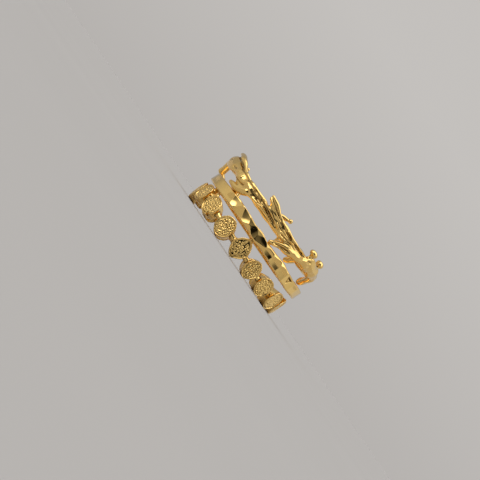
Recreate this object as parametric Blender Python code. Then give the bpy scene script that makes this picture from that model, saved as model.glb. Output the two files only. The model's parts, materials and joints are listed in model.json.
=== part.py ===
"""A gold ring of three slim bands on one finger bore, soldered where they touch.

From the floor up: a row of round nugget discs, a plain hammered band, and an open band of coral twigs.
Sizes are metres, +Z is the ring's axis, and the ring lies on its side with its lowest discs on z = 0.
A turn is an angle round the ring: 0 faces -Y, and it grows towards +X.
"""

import math
import random

import bmesh
import bpy
from mathutils import Vector
from mathutils.geometry import delaunay_2d_cdt

MM = 0.001

# The finger bore, which all three bands share.
BORE_RADIUS = 8.5 * MM
BORE_SIDES = 60
# How much metal stands inside the bore before it is reamed round.
REAM_ALLOWANCE = 0.15 * MM

# The row of discs.
DISC_WIDTH = 2.85 * MM
DISC_HEIGHT = 3.1 * MM
DISC_WALL = 1.32 * MM
DISC_SIDES = 14
DISC_BACK_SHARE = 0.88
RIM_WIDTH = 0.24 * MM
RIM_RISE = 0.14 * MM
RIM_ROUND = 0.1 * MM
NUGGET_RISE = 0.16 * MM
# The nuggets stand on one in three points of a net of equal triangles with this pitch, and the net
# leans this many degrees more from each disc to the next.
NUGGET_NET = 0.42 * MM
NUGGET_LEAN = 17
NECK_HEIGHT = 0.75 * MM
NECK_WALL = 0.7 * MM
NECK_SECTIONS = 36

# One row for each disc: turn in degrees, width and height as shares of the disc's, foot as the share of
# the disc's height that it stands above the floor, and how round it is: 2 is an ellipse, less is a diamond.
DISCS = [
    {"turn": 1, "width": 1.03, "height": 1.15, "foot": 0.045, "round": 1.55},
    {"turn": 20, "width": 0.92, "height": 1.0, "foot": 0.0, "round": 1.75},
    {"turn": 39, "width": 0.98, "height": 0.95, "foot": 0.03, "round": 2.1},
    {"turn": 60, "width": 1.02, "height": 1.02, "foot": 0.0, "round": 2.2},
    {"turn": 80, "width": 0.98, "height": 0.98, "foot": 0.02, "round": 2.0},
    {"turn": 100, "width": 1.0, "height": 1.02, "foot": 0.03, "round": 1.85},
    {"turn": 121, "width": 1.0, "height": 1.0, "foot": 0.0, "round": 2.1},
    {"turn": 142, "width": 0.97, "height": 0.95, "foot": 0.04, "round": 2.0},
    {"turn": 160, "width": 0.92, "height": 1.0, "foot": 0.02, "round": 1.8},
    {"turn": 179, "width": 1.02, "height": 1.12, "foot": 0.03, "round": 1.7},
    {"turn": 200, "width": 1.0, "height": 1.0, "foot": 0.0, "round": 2.0},
    {"turn": 222, "width": 1.02, "height": 0.96, "foot": 0.06, "round": 2.1},
    {"turn": 244, "width": 0.97, "height": 0.98, "foot": 0.08, "round": 1.9},
    {"turn": 261.5, "width": 0.93, "height": 1.0, "foot": 0.0, "round": 2.0},
    {"turn": 278.5, "width": 0.93, "height": 0.92, "foot": 0.14, "round": 2.1},
    {"turn": 296, "width": 0.98, "height": 0.96, "foot": 0.22, "round": 2.1},
    {"turn": 317, "width": 1.08, "height": 0.96, "foot": 0.16, "round": 2.1},
    {"turn": 340, "width": 1.04, "height": 1.04, "foot": 0.08, "round": 2.0},
]

# The hammered band, and the gap that the solder bridges between it and the tallest disc.
BAND_HEIGHT = 1.6 * MM
BAND_WALL = 1.4 * MM
BAND_GAP = 0.1 * MM
BAND_EDGE = 0.18 * MM
BAND_SIDES = 60

# One row for each hammer blow: the turn that its flat faces, how far it faces up, in degrees, and its
# depth as a share of the band's wall.
BLOWS = [
    {"turn": -88, "tilt": 3, "depth": 0.05},
    {"turn": -72, "tilt": -4, "depth": 0.045},
    {"turn": -55, "tilt": 2, "depth": 0.05},
    {"turn": -40, "tilt": -3, "depth": 0.05},
    {"turn": -28, "tilt": 4, "depth": 0.055},
    {"turn": -14, "tilt": -11, "depth": 0.085},
    {"turn": -9, "tilt": 13, "depth": 0.085},
    {"turn": 0, "tilt": -2, "depth": 0.06},
    {"turn": 8, "tilt": 3, "depth": 0.065},
    {"turn": 17, "tilt": 12, "depth": 0.08},
    {"turn": 22, "tilt": -6, "depth": 0.05},
    {"turn": 31, "tilt": -10, "depth": 0.085},
    {"turn": 32, "tilt": 14, "depth": 0.085},
    {"turn": 43, "tilt": 2, "depth": 0.05},
    {"turn": 52, "tilt": 11, "depth": 0.07},
    {"turn": 63, "tilt": -4, "depth": 0.05},
    {"turn": 77, "tilt": 5, "depth": 0.05},
    {"turn": 92, "tilt": -3, "depth": 0.055},
    {"turn": 106, "tilt": 6, "depth": 0.06},
    {"turn": 117, "tilt": -9, "depth": 0.07},
    {"turn": 131, "tilt": 4, "depth": 0.05},
    {"turn": 144, "tilt": -5, "depth": 0.055},
    {"turn": 155, "tilt": 10, "depth": 0.075},
    {"turn": 168, "tilt": -3, "depth": 0.05},
    {"turn": 182, "tilt": 5, "depth": 0.055},
    {"turn": 195, "tilt": -10, "depth": 0.075},
    {"turn": 205, "tilt": 8, "depth": 0.07},
    {"turn": 219, "tilt": -2, "depth": 0.05},
    {"turn": 233, "tilt": 5, "depth": 0.055},
    {"turn": 247, "tilt": -7, "depth": 0.06},
    {"turn": 259, "tilt": 6, "depth": 0.055},
]

# The coral band. Its lowest buds sink into the hammered band, and it sits a little off the bore's axis.
CORAL_HEIGHT = 4.8 * MM
CORAL_WALL = 1.1 * MM
CORAL_STEM = 1.0 * MM
CORAL_SINK = 0.05 * MM
CORAL_STAND_OFF = 0.45 * MM
CORAL_OFFSET = 0.65 * MM
CORAL_SIDES = 8
CORAL_STEP = 0.9 * MM
# A branch's blunt tip: its last section's thickness, and how far past the branch's end that section and
# the point lie, all as shares of the branch's half thickness.
TIP_SHARE = 0.7
TIP_AHEAD = 0.6
TIP_POINT = 0.85

# One table for each branch, a row for each section: turn in degrees, height as a share of the coral
# band's, and stem, the branch's thickness as a share of the stem.
BRANCHES = {
    "left_body": [(-112, 0.48, 1.3), (-96, 0.5, 1.95), (-80, 0.5, 2.1), (-66, 0.48, 1.8), (-54, 0.445, 1.5),
                  (-45, 0.4, 1.8), (-37, 0.4, 1.85), (-31, 0.42, 1.15), (-26, 0.43, 0.7)],
    "left_leg": [(-92, 0.48, 1.5), (-96, 0.34, 1.25), (-99, 0.2, 1.15), (-101, 0.08, 1.05)],
    "left_twig": [(-50, 0.575, 0.5), (-57, 0.625, 0.6), (-66, 0.7, 0.75), (-74, 0.77, 0.85), (-80, 0.805, 0.8)],
    "low_bud": [(-33, 0.27, 1.0), (-38, 0.17, 1.1), (-43, 0.11, 1.0), (-48, 0.1, 0.75), (-52, 0.09, 0.5)],
    "upper_rail": [(-64, 0.56, 0.6), (-53, 0.565, 0.6), (-42, 0.555, 0.55), (-31, 0.545, 0.5), (-24, 0.53, 0.55),
                   (-18, 0.525, 0.55), (-12, 0.495, 0.6), (-6, 0.465, 0.6), (0, 0.43, 0.55), (7, 0.4, 0.45)],
    "lower_rail": [(-42, 0.22, 0.75), (-36, 0.24, 0.75), (-30, 0.3, 0.7), (-24, 0.345, 0.6), (-17, 0.365, 0.5),
                   (-9, 0.365, 0.5), (0, 0.35, 0.48), (7, 0.355, 0.5), (13, 0.385, 0.52), (20, 0.43, 0.55),
                   (28, 0.49, 0.55), (36, 0.53, 0.5), (43, 0.55, 0.5)],
    "mid_bud": [(10, 0.575, 0.5), (2, 0.62, 0.8), (-5, 0.68, 0.95), (-11, 0.745, 0.95), (-16, 0.8, 0.85),
                (-18.5, 0.83, 0.75)],
    "mid_web": [(4, 0.55, 0.5), (-4, 0.575, 0.7), (-10, 0.6, 0.8), (-14, 0.66, 0.6)],
    "upper_right_rail": [(2, 0.635, 0.5), (8, 0.625, 0.48), (15, 0.605, 0.45), (24, 0.6, 0.4), (33, 0.605, 0.4),
                         (41, 0.61, 0.45), (49, 0.62, 0.7)],
    "mid_leaf": [(-6, 0.46, 0.5), (2, 0.455, 0.65), (10, 0.475, 0.65), (18, 0.51, 0.55), (27, 0.54, 0.45),
                 (37, 0.56, 0.45)],
    "big_bud": [(9, 0.05, 0.55), (13, 0.14, 0.95), (19, 0.24, 1.2), (26, 0.34, 1.35), (33, 0.41, 1.35),
                (41, 0.47, 1.3), (50, 0.52, 1.4)],
    "right_head": [(40, 0.51, 1.0), (46, 0.56, 1.8), (54, 0.585, 2.05), (64, 0.57, 1.8), (77, 0.555, 1.5),
                   (92, 0.53, 1.35), (106, 0.52, 1.1)],
    "right_leg": [(86, 0.48, 1.3), (94, 0.35, 1.35), (101, 0.23, 1.3), (105, 0.17, 1.2)],
    "first_ball_neck": [(44, 0.6, 0.8), (43.5, 0.72, 0.55), (43.5, 0.82, 0.6)],
    "second_ball_neck": [(106, 0.55, 0.8), (112, 0.7, 0.6), (116, 0.84, 0.6)],
    "back_upper_rail": [(-112, 0.54, 0.8), (-124, 0.51, 0.65), (-138, 0.5, 0.6), (-154, 0.5, 0.6),
                        (-170, 0.56, 0.6), (-186, 0.63, 0.65), (-200, 0.66, 0.7), (-216, 0.68, 0.75),
                        (-232, 0.66, 0.7), (-246, 0.6, 0.8), (-258, 0.57, 0.9)],
    "back_lower_rail": [(-108, 0.42, 0.9), (-122, 0.41, 0.65), (-138, 0.4, 0.6), (-154, 0.41, 0.6),
                        (-172, 0.43, 0.65), (-190, 0.44, 0.6), (-206, 0.43, 0.6), (-222, 0.42, 0.7),
                        (-238, 0.42, 0.7), (-254, 0.46, 0.9)],
    "back_bridge": [(-158, 0.4, 0.5), (-165, 0.48, 0.6), (-172, 0.58, 0.5)],
    "back_cross": [(-196, 0.44, 0.5), (-205, 0.51, 0.65), (-213, 0.6, 0.6), (-221, 0.67, 0.5)],
    "back_leaf": [(-134, 0.5, 0.5), (-143, 0.45, 0.7), (-151, 0.42, 0.6)],
    "back_twig": [(-166, 0.5, 0.5), (-172, 0.62, 0.6), (-178, 0.78, 0.6), (-184, 0.89, 0.5), (-186, 0.93, 0.45)],
    "back_left_bud": [(-119, 0.5, 0.5), (-122, 0.64, 0.5), (-124, 0.78, 0.45)],
    "back_right_bud": [(-222, 0.44, 0.8), (-217, 0.32, 1.0), (-215, 0.24, 1.0), (-214, 0.19, 0.8)],
}

# The feet by which the coral stands on the hammered band: turn, the height share of the branch that each
# one grows from, and its width as a share of the stem. Each sinks a share of the band's height into it.
FOOT_SINK_SHARE = 1 / 3
FOOT_WALL_SHARE = 1 / 3
FEET = [
    {"turn": -43, "from": 0.13, "width": 1.1},
    {"turn": 10.5, "from": 0.08, "width": 0.6},
    {"turn": -102, "from": 0.1, "width": 1.0},
    {"turn": -139, "from": 0.4, "width": 0.7},
    {"turn": -193, "from": 0.44, "width": 0.5},
]

# The slot sunk in the big bud, in a branch's columns. Its middle line runs along the face of the wall.
BUD_SLOT = [(13.5, 0.13, 0.32), (18, 0.2, 0.42), (22, 0.26, 0.42), (25, 0.3, 0.3)]

# The balls at twig ends: turn, height share, and width and height as shares of the stem.
BALLS = [
    {"turn": 43.5, "at": 0.865, "width": 1.4, "height": 0.95},
    {"turn": 116, "at": 0.895, "width": 1.35, "height": 1.0},
    {"turn": 173.5, "at": 0.95, "width": 0.75, "height": 0.75},
]

# Solder between the discs and the hammered band, at the turns of the discs that reach it. Its middle
# stands out from the bore by this much.
SOLDER_TURNS = [1, 179, 240, 299]
SOLDER_OUT = 0.55 * MM
SOLDER_WIDTH = 0.7 * MM
SOLDER_WALL = 0.75 * MM
SOLDER_SIDES = 8

GOLD_COLOUR = (0.83, 0.6, 0.27, 1.0)
GOLD_ROUGHNESS = 0.16


def clear_scene():
    """Start from an empty scene."""
    for old in list(bpy.data.objects):
        bpy.data.objects.remove(old, do_unlink=True)


def outward(turn):
    """The direction from the ring's axis to this turn, in degrees."""
    angle = math.radians(turn)
    return Vector((math.sin(angle), -math.cos(angle), 0.0))


def along(turn):
    """The direction round the ring at this turn."""
    angle = math.radians(turn)
    return Vector((math.cos(angle), math.sin(angle), 0.0))


def disc_reach():
    """The height of the tallest disc's top above the floor."""
    return max(DISC_HEIGHT * (row["foot"] + row["height"]) for row in DISCS)


def band_foot():
    return disc_reach() + BAND_GAP


def band_top():
    return band_foot() + BAND_HEIGHT


def coral_level(share):
    """The height at a share of the coral band's height."""
    return band_top() - CORAL_SINK + share * CORAL_HEIGHT


def coral_radius(turn):
    """The middle of the coral's wall, which lies off the axis towards -X."""
    middle = BORE_RADIUS + CORAL_WALL / 2 + CORAL_STAND_OFF
    return middle - CORAL_OFFSET * math.sin(math.radians(turn))


def coral_spot(turn, level, out=0.0):
    """A point in the middle of the coral's wall, or further out."""
    return outward(turn) * (coral_radius(turn) + out) + Vector((0, 0, coral_level(level)))


def piece_from(bm, name):
    """Make a hidden object of the pieces that the ring is joined from."""
    bmesh.ops.recalc_face_normals(bm, faces=bm.faces)
    mesh = bpy.data.meshes.new(name)
    bm.to_mesh(mesh)
    bm.free()
    piece = bpy.data.objects.new(name, mesh)
    piece.hide_render = True
    piece.display_type = "WIRE"
    return piece


def bridge(bm, first, second):
    """Join two rings of vertices with a strip of faces."""
    for here in range(len(first)):
        after = (here + 1) % len(first)
        bm.faces.new((first[here], first[after], second[after], second[here]))


def disc_outline(width, height, roundness):
    """The outline of one disc, with a flat side at its foot."""
    points = []
    for side in range(DISC_SIDES):
        angle = math.tau * (side + 0.5) / DISC_SIDES
        across, up = math.sin(angle), -math.cos(angle)
        reach = (abs(across) ** roundness + abs(up) ** roundness) ** (-1 / roundness)
        points.append((across * reach, up * reach))
    widest = max(across for across, up in points)
    tallest = max(up for across, up in points)
    return [(width / 2 * across / widest, height / 2 * up / tallest) for across, up in points]


def nugget_net(inside, index):
    """The net's points within an outline: across, up, and how far each stands above the face's floor."""
    chance = random.Random(index)
    lean = math.radians(NUGGET_LEAN * index)
    points = []
    for column in range(-7, 8):
        for line in range(-7, 8):
            over, up = (column + line / 2) * NUGGET_NET, line * math.sqrt(0.75) * NUGGET_NET
            spot = (over * math.cos(lean) - up * math.sin(lean), over * math.sin(lean) + up * math.cos(lean))
            rise = NUGGET_RISE * chance.uniform(0.7, 1) if (column - line) % 3 == 0 else 0
            if inside(*spot):
                points.append((*spot, rise))
    return points


def nugget_face(bm, ring, outline, spot, index):
    """Fill a disc's sunk face, inside its last ring of vertices, with raised nuggets."""
    def inside(across, up):
        sides = zip(outline, outline[1:] + outline[:1])
        return min(((x1 - x0) * (up - y0) - (y1 - y0) * (across - x0)) / math.hypot(x1 - x0, y1 - y0)
                   for (x0, y0), (x1, y1) in sides) > NUGGET_NET / 3

    net = nugget_net(inside, index)
    corners = ring + [spot(across, up, RIM_RISE - rise) for across, up, rise in net]
    flat = [Vector(point) / MM for point in outline + [point[:2] for point in net]]
    faces = delaunay_2d_cdt(flat, [], [list(range(len(ring)))], 0, 1e-6)[2]
    for face in faces:
        bm.faces.new([corners[corner] for corner in face])


def disc(row, index):
    """One disc: a rounded rim round a sunk face of raised nuggets, and a smaller back, level at its foot."""
    width, height = DISC_WIDTH * row["width"], DISC_HEIGHT * row["height"]
    outline = disc_outline(width, height, row["round"])
    middle = Vector((0, 0, DISC_HEIGHT * row["foot"] + height / 2))
    face = BORE_RADIUS + DISC_WALL
    rings = [
        (DISC_BACK_SHARE, DISC_WALL + REAM_ALLOWANCE, -(1 - DISC_BACK_SHARE) * height / 2),
        (1, RIM_ROUND, 0),
        (1 - 2 * RIM_ROUND / width, 0, 0),
        (1 - 2 * RIM_WIDTH / width, 0, 0),
        (1 - 2 * (RIM_WIDTH + RIM_ROUND) / width, RIM_RISE, 0),
    ]
    bm = bmesh.new()

    def spot(across, up, depth):
        return bm.verts.new(middle + along(row["turn"]) * across + outward(row["turn"]) * (face - depth)
                            + Vector((0, 0, up)))

    made = [[spot(across * share, up * share + drop, depth) for across, up in outline]
            for share, depth, drop in rings]
    for lower, upper in zip(made, made[1:]):
        bridge(bm, lower, upper)
    bm.faces.new(reversed(made[0]))
    floor = rings[-1][0]
    nugget_face(bm, made[-1], [(across * floor, up * floor) for across, up in outline], spot, index)
    return piece_from(bm, f"disc_{index + 1}")


def neck_level(turn):
    """The height of the neck wire, which runs through every disc's middle."""
    rows = sorted(DISCS, key=lambda row: row["turn"])
    rows = [dict(rows[-1], turn=rows[-1]["turn"] - 360)] + rows + [dict(rows[0], turn=rows[0]["turn"] + 360)]
    for low, high in zip(rows, rows[1:]):
        if low["turn"] <= turn <= high["turn"]:
            share = (turn - low["turn"]) / (high["turn"] - low["turn"])
            start, end = (DISC_HEIGHT * (row["foot"] + row["height"] / 2) for row in (low, high))
            return start + (end - start) * (1 - math.cos(math.pi * share)) / 2
    return neck_level(turn + 360)


def neck_wire():
    """The wire that joins the discs, of which only the short necks show."""
    bm = bmesh.new()
    middle = BORE_RADIUS + DISC_WALL / 2
    rings = []
    for step in range(NECK_SECTIONS):
        turn = 360 * step / NECK_SECTIONS
        level = neck_level(turn)
        ring = []
        for side in range(6):
            angle = math.tau * side / 6
            away = outward(turn) * (middle + NECK_WALL / 2 * math.sin(angle))
            ring.append(bm.verts.new(away + Vector((0, 0, level + NECK_HEIGHT / 2 * math.cos(angle)))))
        rings.append(ring)
    for lower, upper in zip(rings, rings[1:] + rings[:1]):
        bridge(bm, lower, upper)
    return piece_from(bm, "neck_wire")


def hammered_band():
    """The plain band, turned with rounded edges and then flattened by the hammer blows."""
    outer, inner = BORE_RADIUS + BAND_WALL, BORE_RADIUS - REAM_ALLOWANCE
    foot, top = band_foot(), band_top()
    profile = [(inner, foot), (outer - BAND_EDGE, foot), (outer, foot + BAND_EDGE),
               (outer, top - BAND_EDGE), (outer - BAND_EDGE, top), (inner, top)]
    bm = bmesh.new()
    rings = []
    for step in range(BAND_SIDES):
        turn = 360 * (step + 0.5) / BAND_SIDES
        rings.append([bm.verts.new(outward(turn) * radius + Vector((0, 0, level)))
                      for radius, level in profile])
    for lower, upper in zip(rings, rings[1:] + rings[:1]):
        bridge(bm, lower, upper)
    for blow in BLOWS:
        tilt = math.radians(blow["tilt"])
        facing = outward(blow["turn"]) * math.cos(tilt) + Vector((0, 0, math.sin(tilt)))
        reach = outer - BAND_WALL * blow["depth"]
        struck = outward(blow["turn"]) * reach + Vector((0, 0, (foot + top) / 2))
        everything = bm.verts[:] + bm.edges[:] + bm.faces[:]
        cut = bmesh.ops.bisect_plane(bm, geom=everything, dist=1e-8, plane_co=struck, plane_no=facing,
                                     clear_outer=True)
        rim = [item for item in cut["geom_cut"] if isinstance(item, bmesh.types.BMEdge)]
        bmesh.ops.edgeloop_fill(bm, edges=rim)
    return piece_from(bm, "hammered_band")


def smooth_rows(rows):
    """Rows spaced about a step apart on a smooth curve through a branch's own rows."""
    padded = [rows[0]] + list(rows) + [rows[-1]]
    found = []
    for before, start, end, after in zip(padded, padded[1:], padded[2:], padded[3:]):
        run = math.hypot(math.radians(end[0] - start[0]) * BORE_RADIUS, (end[1] - start[1]) * CORAL_HEIGHT)
        steps = max(1, round(run / CORAL_STEP))
        for step in range(steps):
            t = step / steps
            found.append(tuple(
                0.5 * (2 * b + (c - a) * t + (2 * a - 5 * b + 4 * c - d) * t**2 + (3 * b - a - 3 * c + d) * t**3)
                for a, b, c, d in zip(before, start, end, after)))
    return found + [tuple(rows[-1])]


def branch(name, rows, out=0.0):
    """One branch: an oval section carried along its route, with a blunt tip at both ends."""
    fine = smooth_rows(rows)
    route = [coral_spot(turn, level, out) for turn, level, stem in fine]
    bm = bmesh.new()
    rings = []
    tips = []
    for place, (turn, level, stem) in enumerate(fine):
        ahead = (route[min(place + 1, len(route) - 1)] - route[max(place - 1, 0)]).normalized()
        depth = outward(turn)
        depth = (depth - ahead * depth.dot(ahead)).normalized()
        side = ahead.cross(depth)
        half = stem * CORAL_STEM / 2
        wall = min(1.15 * half, CORAL_WALL / 2)
        ends = [(1.0, 0.0)]
        if place == 0:
            ends = [(TIP_SHARE, -TIP_AHEAD), (1.0, 0.0)]
            tips.append(route[place] - ahead * half * TIP_POINT)
        elif place == len(fine) - 1:
            ends = [(1.0, 0.0), (TIP_SHARE, TIP_AHEAD)]
            tips.append(route[place] + ahead * half * TIP_POINT)
        for share, shift in ends:
            ring = []
            for step in range(CORAL_SIDES):
                angle = math.tau * (step + 0.5) / CORAL_SIDES
                ring.append(bm.verts.new(route[place] + ahead * half * shift
                                         + depth * wall * share * math.sin(angle)
                                         + side * half * share * math.cos(angle)))
            rings.append(ring)
    for lower, upper in zip(rings, rings[1:]):
        bridge(bm, lower, upper)
    for ring, tip in ((rings[0], tips[0]), (rings[-1], tips[1])):
        point = bm.verts.new(tip)
        for here in range(CORAL_SIDES):
            bm.faces.new((ring[here], ring[(here + 1) % CORAL_SIDES], point))
    return piece_from(bm, name)


def ball(row, index):
    """A round bead of metal at the end of a twig."""
    bm = bmesh.new()
    bmesh.ops.create_icosphere(bm, subdivisions=2, radius=CORAL_STEM / 2)
    place = coral_spot(row["turn"], row["at"])
    for vert in bm.verts:
        across, deep, up = vert.co
        vert.co = (place + along(row["turn"]) * across * row["width"]
                   + outward(row["turn"]) * deep * row["width"] + Vector((0, 0, up * row["height"])))
    return piece_from(bm, f"ball_{index + 1}")


def solder_joint(turn, index):
    """A drawn fillet of solder from inside a disc to inside the hammered band."""
    foot, top = neck_level(turn), (band_foot() + band_top()) / 2
    middle = outward(turn) * (BORE_RADIUS + SOLDER_OUT)
    bm = bmesh.new()
    rings = []
    for share, level in ((1.3, foot), (1.0, disc_reach() + BAND_GAP / 2), (1.3, top)):
        ring = []
        for side in range(SOLDER_SIDES):
            angle = math.tau * side / SOLDER_SIDES
            ring.append(bm.verts.new(middle + along(turn) * SOLDER_WIDTH / 2 * share * math.cos(angle)
                                     + outward(turn) * SOLDER_WALL / 2 * math.sin(angle) + Vector((0, 0, level))))
        rings.append(ring)
    for lower, upper in zip(rings, rings[1:]):
        bridge(bm, lower, upper)
    bm.faces.new(reversed(rings[0]))
    bm.faces.new(rings[-1])
    return piece_from(bm, f"solder_{index + 1}")


def coral_foot(row, index):
    """A short foot that leans in from a coral branch to the middle of the hammered band."""
    turn = row["turn"]
    half = CORAL_STEM * row["width"] / 2
    wall = min(half, BAND_WALL * FOOT_WALL_SHARE)
    seat = outward(turn) * (BORE_RADIUS + BAND_WALL / 2) + Vector((0, 0, band_top()))
    sunk = seat - Vector((0, 0, BAND_HEIGHT * FOOT_SINK_SHARE))
    bm = bmesh.new()
    rings = []
    for place, share in ((coral_spot(turn, row["from"]), 1.0), (seat, 0.9), (sunk, 1.1)):
        ring = []
        for side in range(CORAL_SIDES):
            angle = math.tau * side / CORAL_SIDES
            ring.append(bm.verts.new(place + along(turn) * half * share * math.cos(angle)
                                     + outward(turn) * wall * share * math.sin(angle)))
        rings.append(ring)
    for lower, upper in zip(rings, rings[1:]):
        bridge(bm, lower, upper)
    bm.faces.new(reversed(rings[0]))
    bm.faces.new(rings[-1])
    return piece_from(bm, f"coral_foot_{index + 1}")


def bore_cutter():
    """The reamer: a cylinder longer than the ring is tall."""
    bm = bmesh.new()
    length = 2 * coral_level(1.5)
    bmesh.ops.create_cone(bm, cap_ends=True, segments=BORE_SIDES, radius1=BORE_RADIUS, radius2=BORE_RADIUS,
                          depth=length)
    return piece_from(bm, "bore_cutter")


def gold():
    """Polished yellow gold."""
    material = bpy.data.materials.new("gold")
    material.use_nodes = True
    surface = material.node_tree.nodes["Principled BSDF"]
    surface.inputs["Base Color"].default_value = GOLD_COLOUR
    surface.inputs["Metallic"].default_value = 1.0
    surface.inputs["Roughness"].default_value = GOLD_ROUGHNESS
    return material


def main():
    clear_scene()
    pieces = bpy.data.collections.new("ring_pieces")
    bpy.context.scene.collection.children.link(pieces)
    band = hammered_band()
    for index, row in enumerate(DISCS):
        pieces.objects.link(disc(row, index))
    pieces.objects.link(neck_wire())
    for name, rows in BRANCHES.items():
        pieces.objects.link(branch(name, rows))
    for index, row in enumerate(BALLS):
        pieces.objects.link(ball(row, index))
    for index, row in enumerate(FEET):
        pieces.objects.link(coral_foot(row, index))
    for index, turn in enumerate(SOLDER_TURNS):
        pieces.objects.link(solder_joint(turn, index))
    slot = branch("bud_slot_cutter", BUD_SLOT, CORAL_WALL / 2)
    cutter = bore_cutter()
    bpy.context.scene.collection.objects.link(slot)
    bpy.context.scene.collection.objects.link(cutter)

    ring = bpy.data.objects.new("triple_band_ring", band.data)
    bpy.data.objects.remove(band)
    bpy.context.scene.collection.objects.link(ring)
    ring.data.materials.append(gold())
    soldered = ring.modifiers.new("soldered together", "BOOLEAN")
    soldered.operation = "UNION"
    soldered.operand_type = "COLLECTION"
    soldered.collection = pieces
    soldered.solver = "EXACT"
    slotted = ring.modifiers.new("slot in the big bud", "BOOLEAN")
    slotted.operation = "DIFFERENCE"
    slotted.object = slot
    slotted.solver = "EXACT"
    reamed = ring.modifiers.new("finger bore", "BOOLEAN")
    reamed.operation = "DIFFERENCE"
    reamed.object = cutter
    reamed.solver = "EXACT"


main()
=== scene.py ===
# %% [markdown]
# A gold ring in three bands, made as a lesson.
# The ring is a stack of three slim bands on one finger bore: a row of round nugget discs at the foot, a
# plain hammered band in the middle, and an open band of coral twigs on top. A goldsmith casts each band,
# files and polishes it, and solders the three together where they touch.
# The solid model of the ring is loaded first as a fixed frame. Every mesh below is a finer skin over that
# solid, so it takes its place and its size from the same numbers.

# %% Load the solid model
import json
import math
import bmesh
import bpy
import numpy as np
from mathutils import Matrix, Vector

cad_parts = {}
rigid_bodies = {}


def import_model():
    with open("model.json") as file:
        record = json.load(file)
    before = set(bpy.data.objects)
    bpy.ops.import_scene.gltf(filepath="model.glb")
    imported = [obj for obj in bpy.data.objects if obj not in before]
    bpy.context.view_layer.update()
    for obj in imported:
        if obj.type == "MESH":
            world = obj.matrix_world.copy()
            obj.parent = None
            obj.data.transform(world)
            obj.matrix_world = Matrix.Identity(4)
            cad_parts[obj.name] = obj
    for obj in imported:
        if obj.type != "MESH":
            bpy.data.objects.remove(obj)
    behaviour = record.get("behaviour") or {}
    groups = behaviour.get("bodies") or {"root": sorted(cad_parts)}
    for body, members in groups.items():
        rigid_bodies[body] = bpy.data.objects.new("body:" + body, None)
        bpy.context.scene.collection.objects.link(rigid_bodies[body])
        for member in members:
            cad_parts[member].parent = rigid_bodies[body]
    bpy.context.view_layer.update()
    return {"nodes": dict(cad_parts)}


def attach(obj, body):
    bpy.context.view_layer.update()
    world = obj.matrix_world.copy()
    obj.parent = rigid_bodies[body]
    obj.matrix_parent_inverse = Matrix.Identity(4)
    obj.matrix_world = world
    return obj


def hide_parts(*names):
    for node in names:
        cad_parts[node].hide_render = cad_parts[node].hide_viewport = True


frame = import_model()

MM = 0.001
SOLID = "triple_band_ring"

# %% [markdown]
# A place on a ring is easiest to say with a turn, a radius and a height. The turn is an angle in degrees:
# 0 faces the camera, and it grows towards the right. All the shapes are worked out in millimetres with
# numpy arrays, which move thousands of points at once, and each finished mesh is then scaled to metres.
# The bore is measured on the solid: it is the smallest distance from the axis to any of its corners.

# %% Turns round the ring
UP = np.array([0.0, 0.0, 1.0])


def outward(turn):
    """Unit vectors that point from the ring's axis at each turn."""
    angle = np.radians(np.asarray(turn, float))
    return np.stack([np.sin(angle), -np.cos(angle), np.zeros_like(angle)], axis=-1)


def along(turn):
    """Unit vectors that run round the ring at each turn."""
    angle = np.radians(np.asarray(turn, float))
    return np.stack([np.cos(angle), np.sin(angle), np.zeros_like(angle)], axis=-1)


def turn_of(points):
    """The turn of each point, in degrees from -180 to 180."""
    return np.degrees(np.arctan2(points[:, 0], -points[:, 1]))


def reach_of(points):
    """How far each point stands from the ring's axis."""
    return np.hypot(points[:, 0], points[:, 1])


def even_turns(count):
    """So many turns, spread evenly round the circle."""
    return 360 * np.arange(count) / count


def turn_from(turn, other):
    """How far a turn is from another, in degrees from -180 to 180."""
    return (turn - other + 180) % 360 - 180


solid_corners = np.array([vert.co for vert in frame["nodes"][SOLID].data.vertices]) / MM
BORE_RADIUS = round(float(reach_of(solid_corners).min()), 1)
print("bore radius in mm:", BORE_RADIUS)

# %% [markdown]
# Most of these forms are nets: rows of points, each row a closed loop, with a four-sided face between
# every two neighbours. One helper numbers the faces of such a net, and another turns points and faces
# into a Blender object. The work stays in millimetres until a piece is finished.

# %% Nets of points
def net_faces(rows, columns, closed=False):
    """Corner numbers of the faces between the rows of a net, whose rows are closed loops."""
    row = np.arange(rows if closed else rows - 1)[:, None]
    column = np.arange(columns)[None, :]
    beside = (column + 1) % columns
    over = (row + 1) % rows
    near, far = row * columns, over * columns
    corners = (near + column, near + beside, far + beside, far + column)
    return np.stack(np.broadcast_arrays(*corners), axis=-1).reshape(-1, 4)


def fan_faces(row_start, columns, tip, flip=False):
    """Triangles from one loop of a net to a single point that closes it."""
    here = row_start + np.arange(columns)
    beside = row_start + (np.arange(columns) + 1) % columns
    first, second = (beside, here) if flip else (here, beside)
    return np.stack([first, second, np.full(columns, tip)], axis=-1)


def make_object(name, points, faces):
    """A mesh object in the scene, from points in millimetres."""
    mesh = bpy.data.meshes.new(name)
    mesh.from_pydata(np.asarray(points, float).tolist(), [], faces)
    mesh.validate()
    thing = bpy.data.objects.new(name, mesh)
    bpy.context.scene.collection.objects.link(thing)
    return thing


def capped_net(rings):
    """Points and faces of a closed body whose loops are rings and whose ends are the loops' middles."""
    rows, columns = rings.shape[:2]
    points = np.concatenate([rings.reshape(-1, 3), rings[:1].mean(axis=1), rings[-1:].mean(axis=1)])
    first, last = rows * columns, rows * columns + 1
    faces = net_faces(rows, columns).tolist()
    faces += fan_faces(0, columns, first, flip=True).tolist()
    faces += fan_faces((rows - 1) * columns, columns, last).tolist()
    return points, faces


def join_nets(nets):
    """Points and faces of several nets as one list."""
    all_points, all_faces, start = [], [], 0
    for points, faces in nets:
        all_points.append(points)
        all_faces += [[corner + start for corner in face] for face in faces]
        start += len(points)
    return np.concatenate(all_points), all_faces


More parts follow.
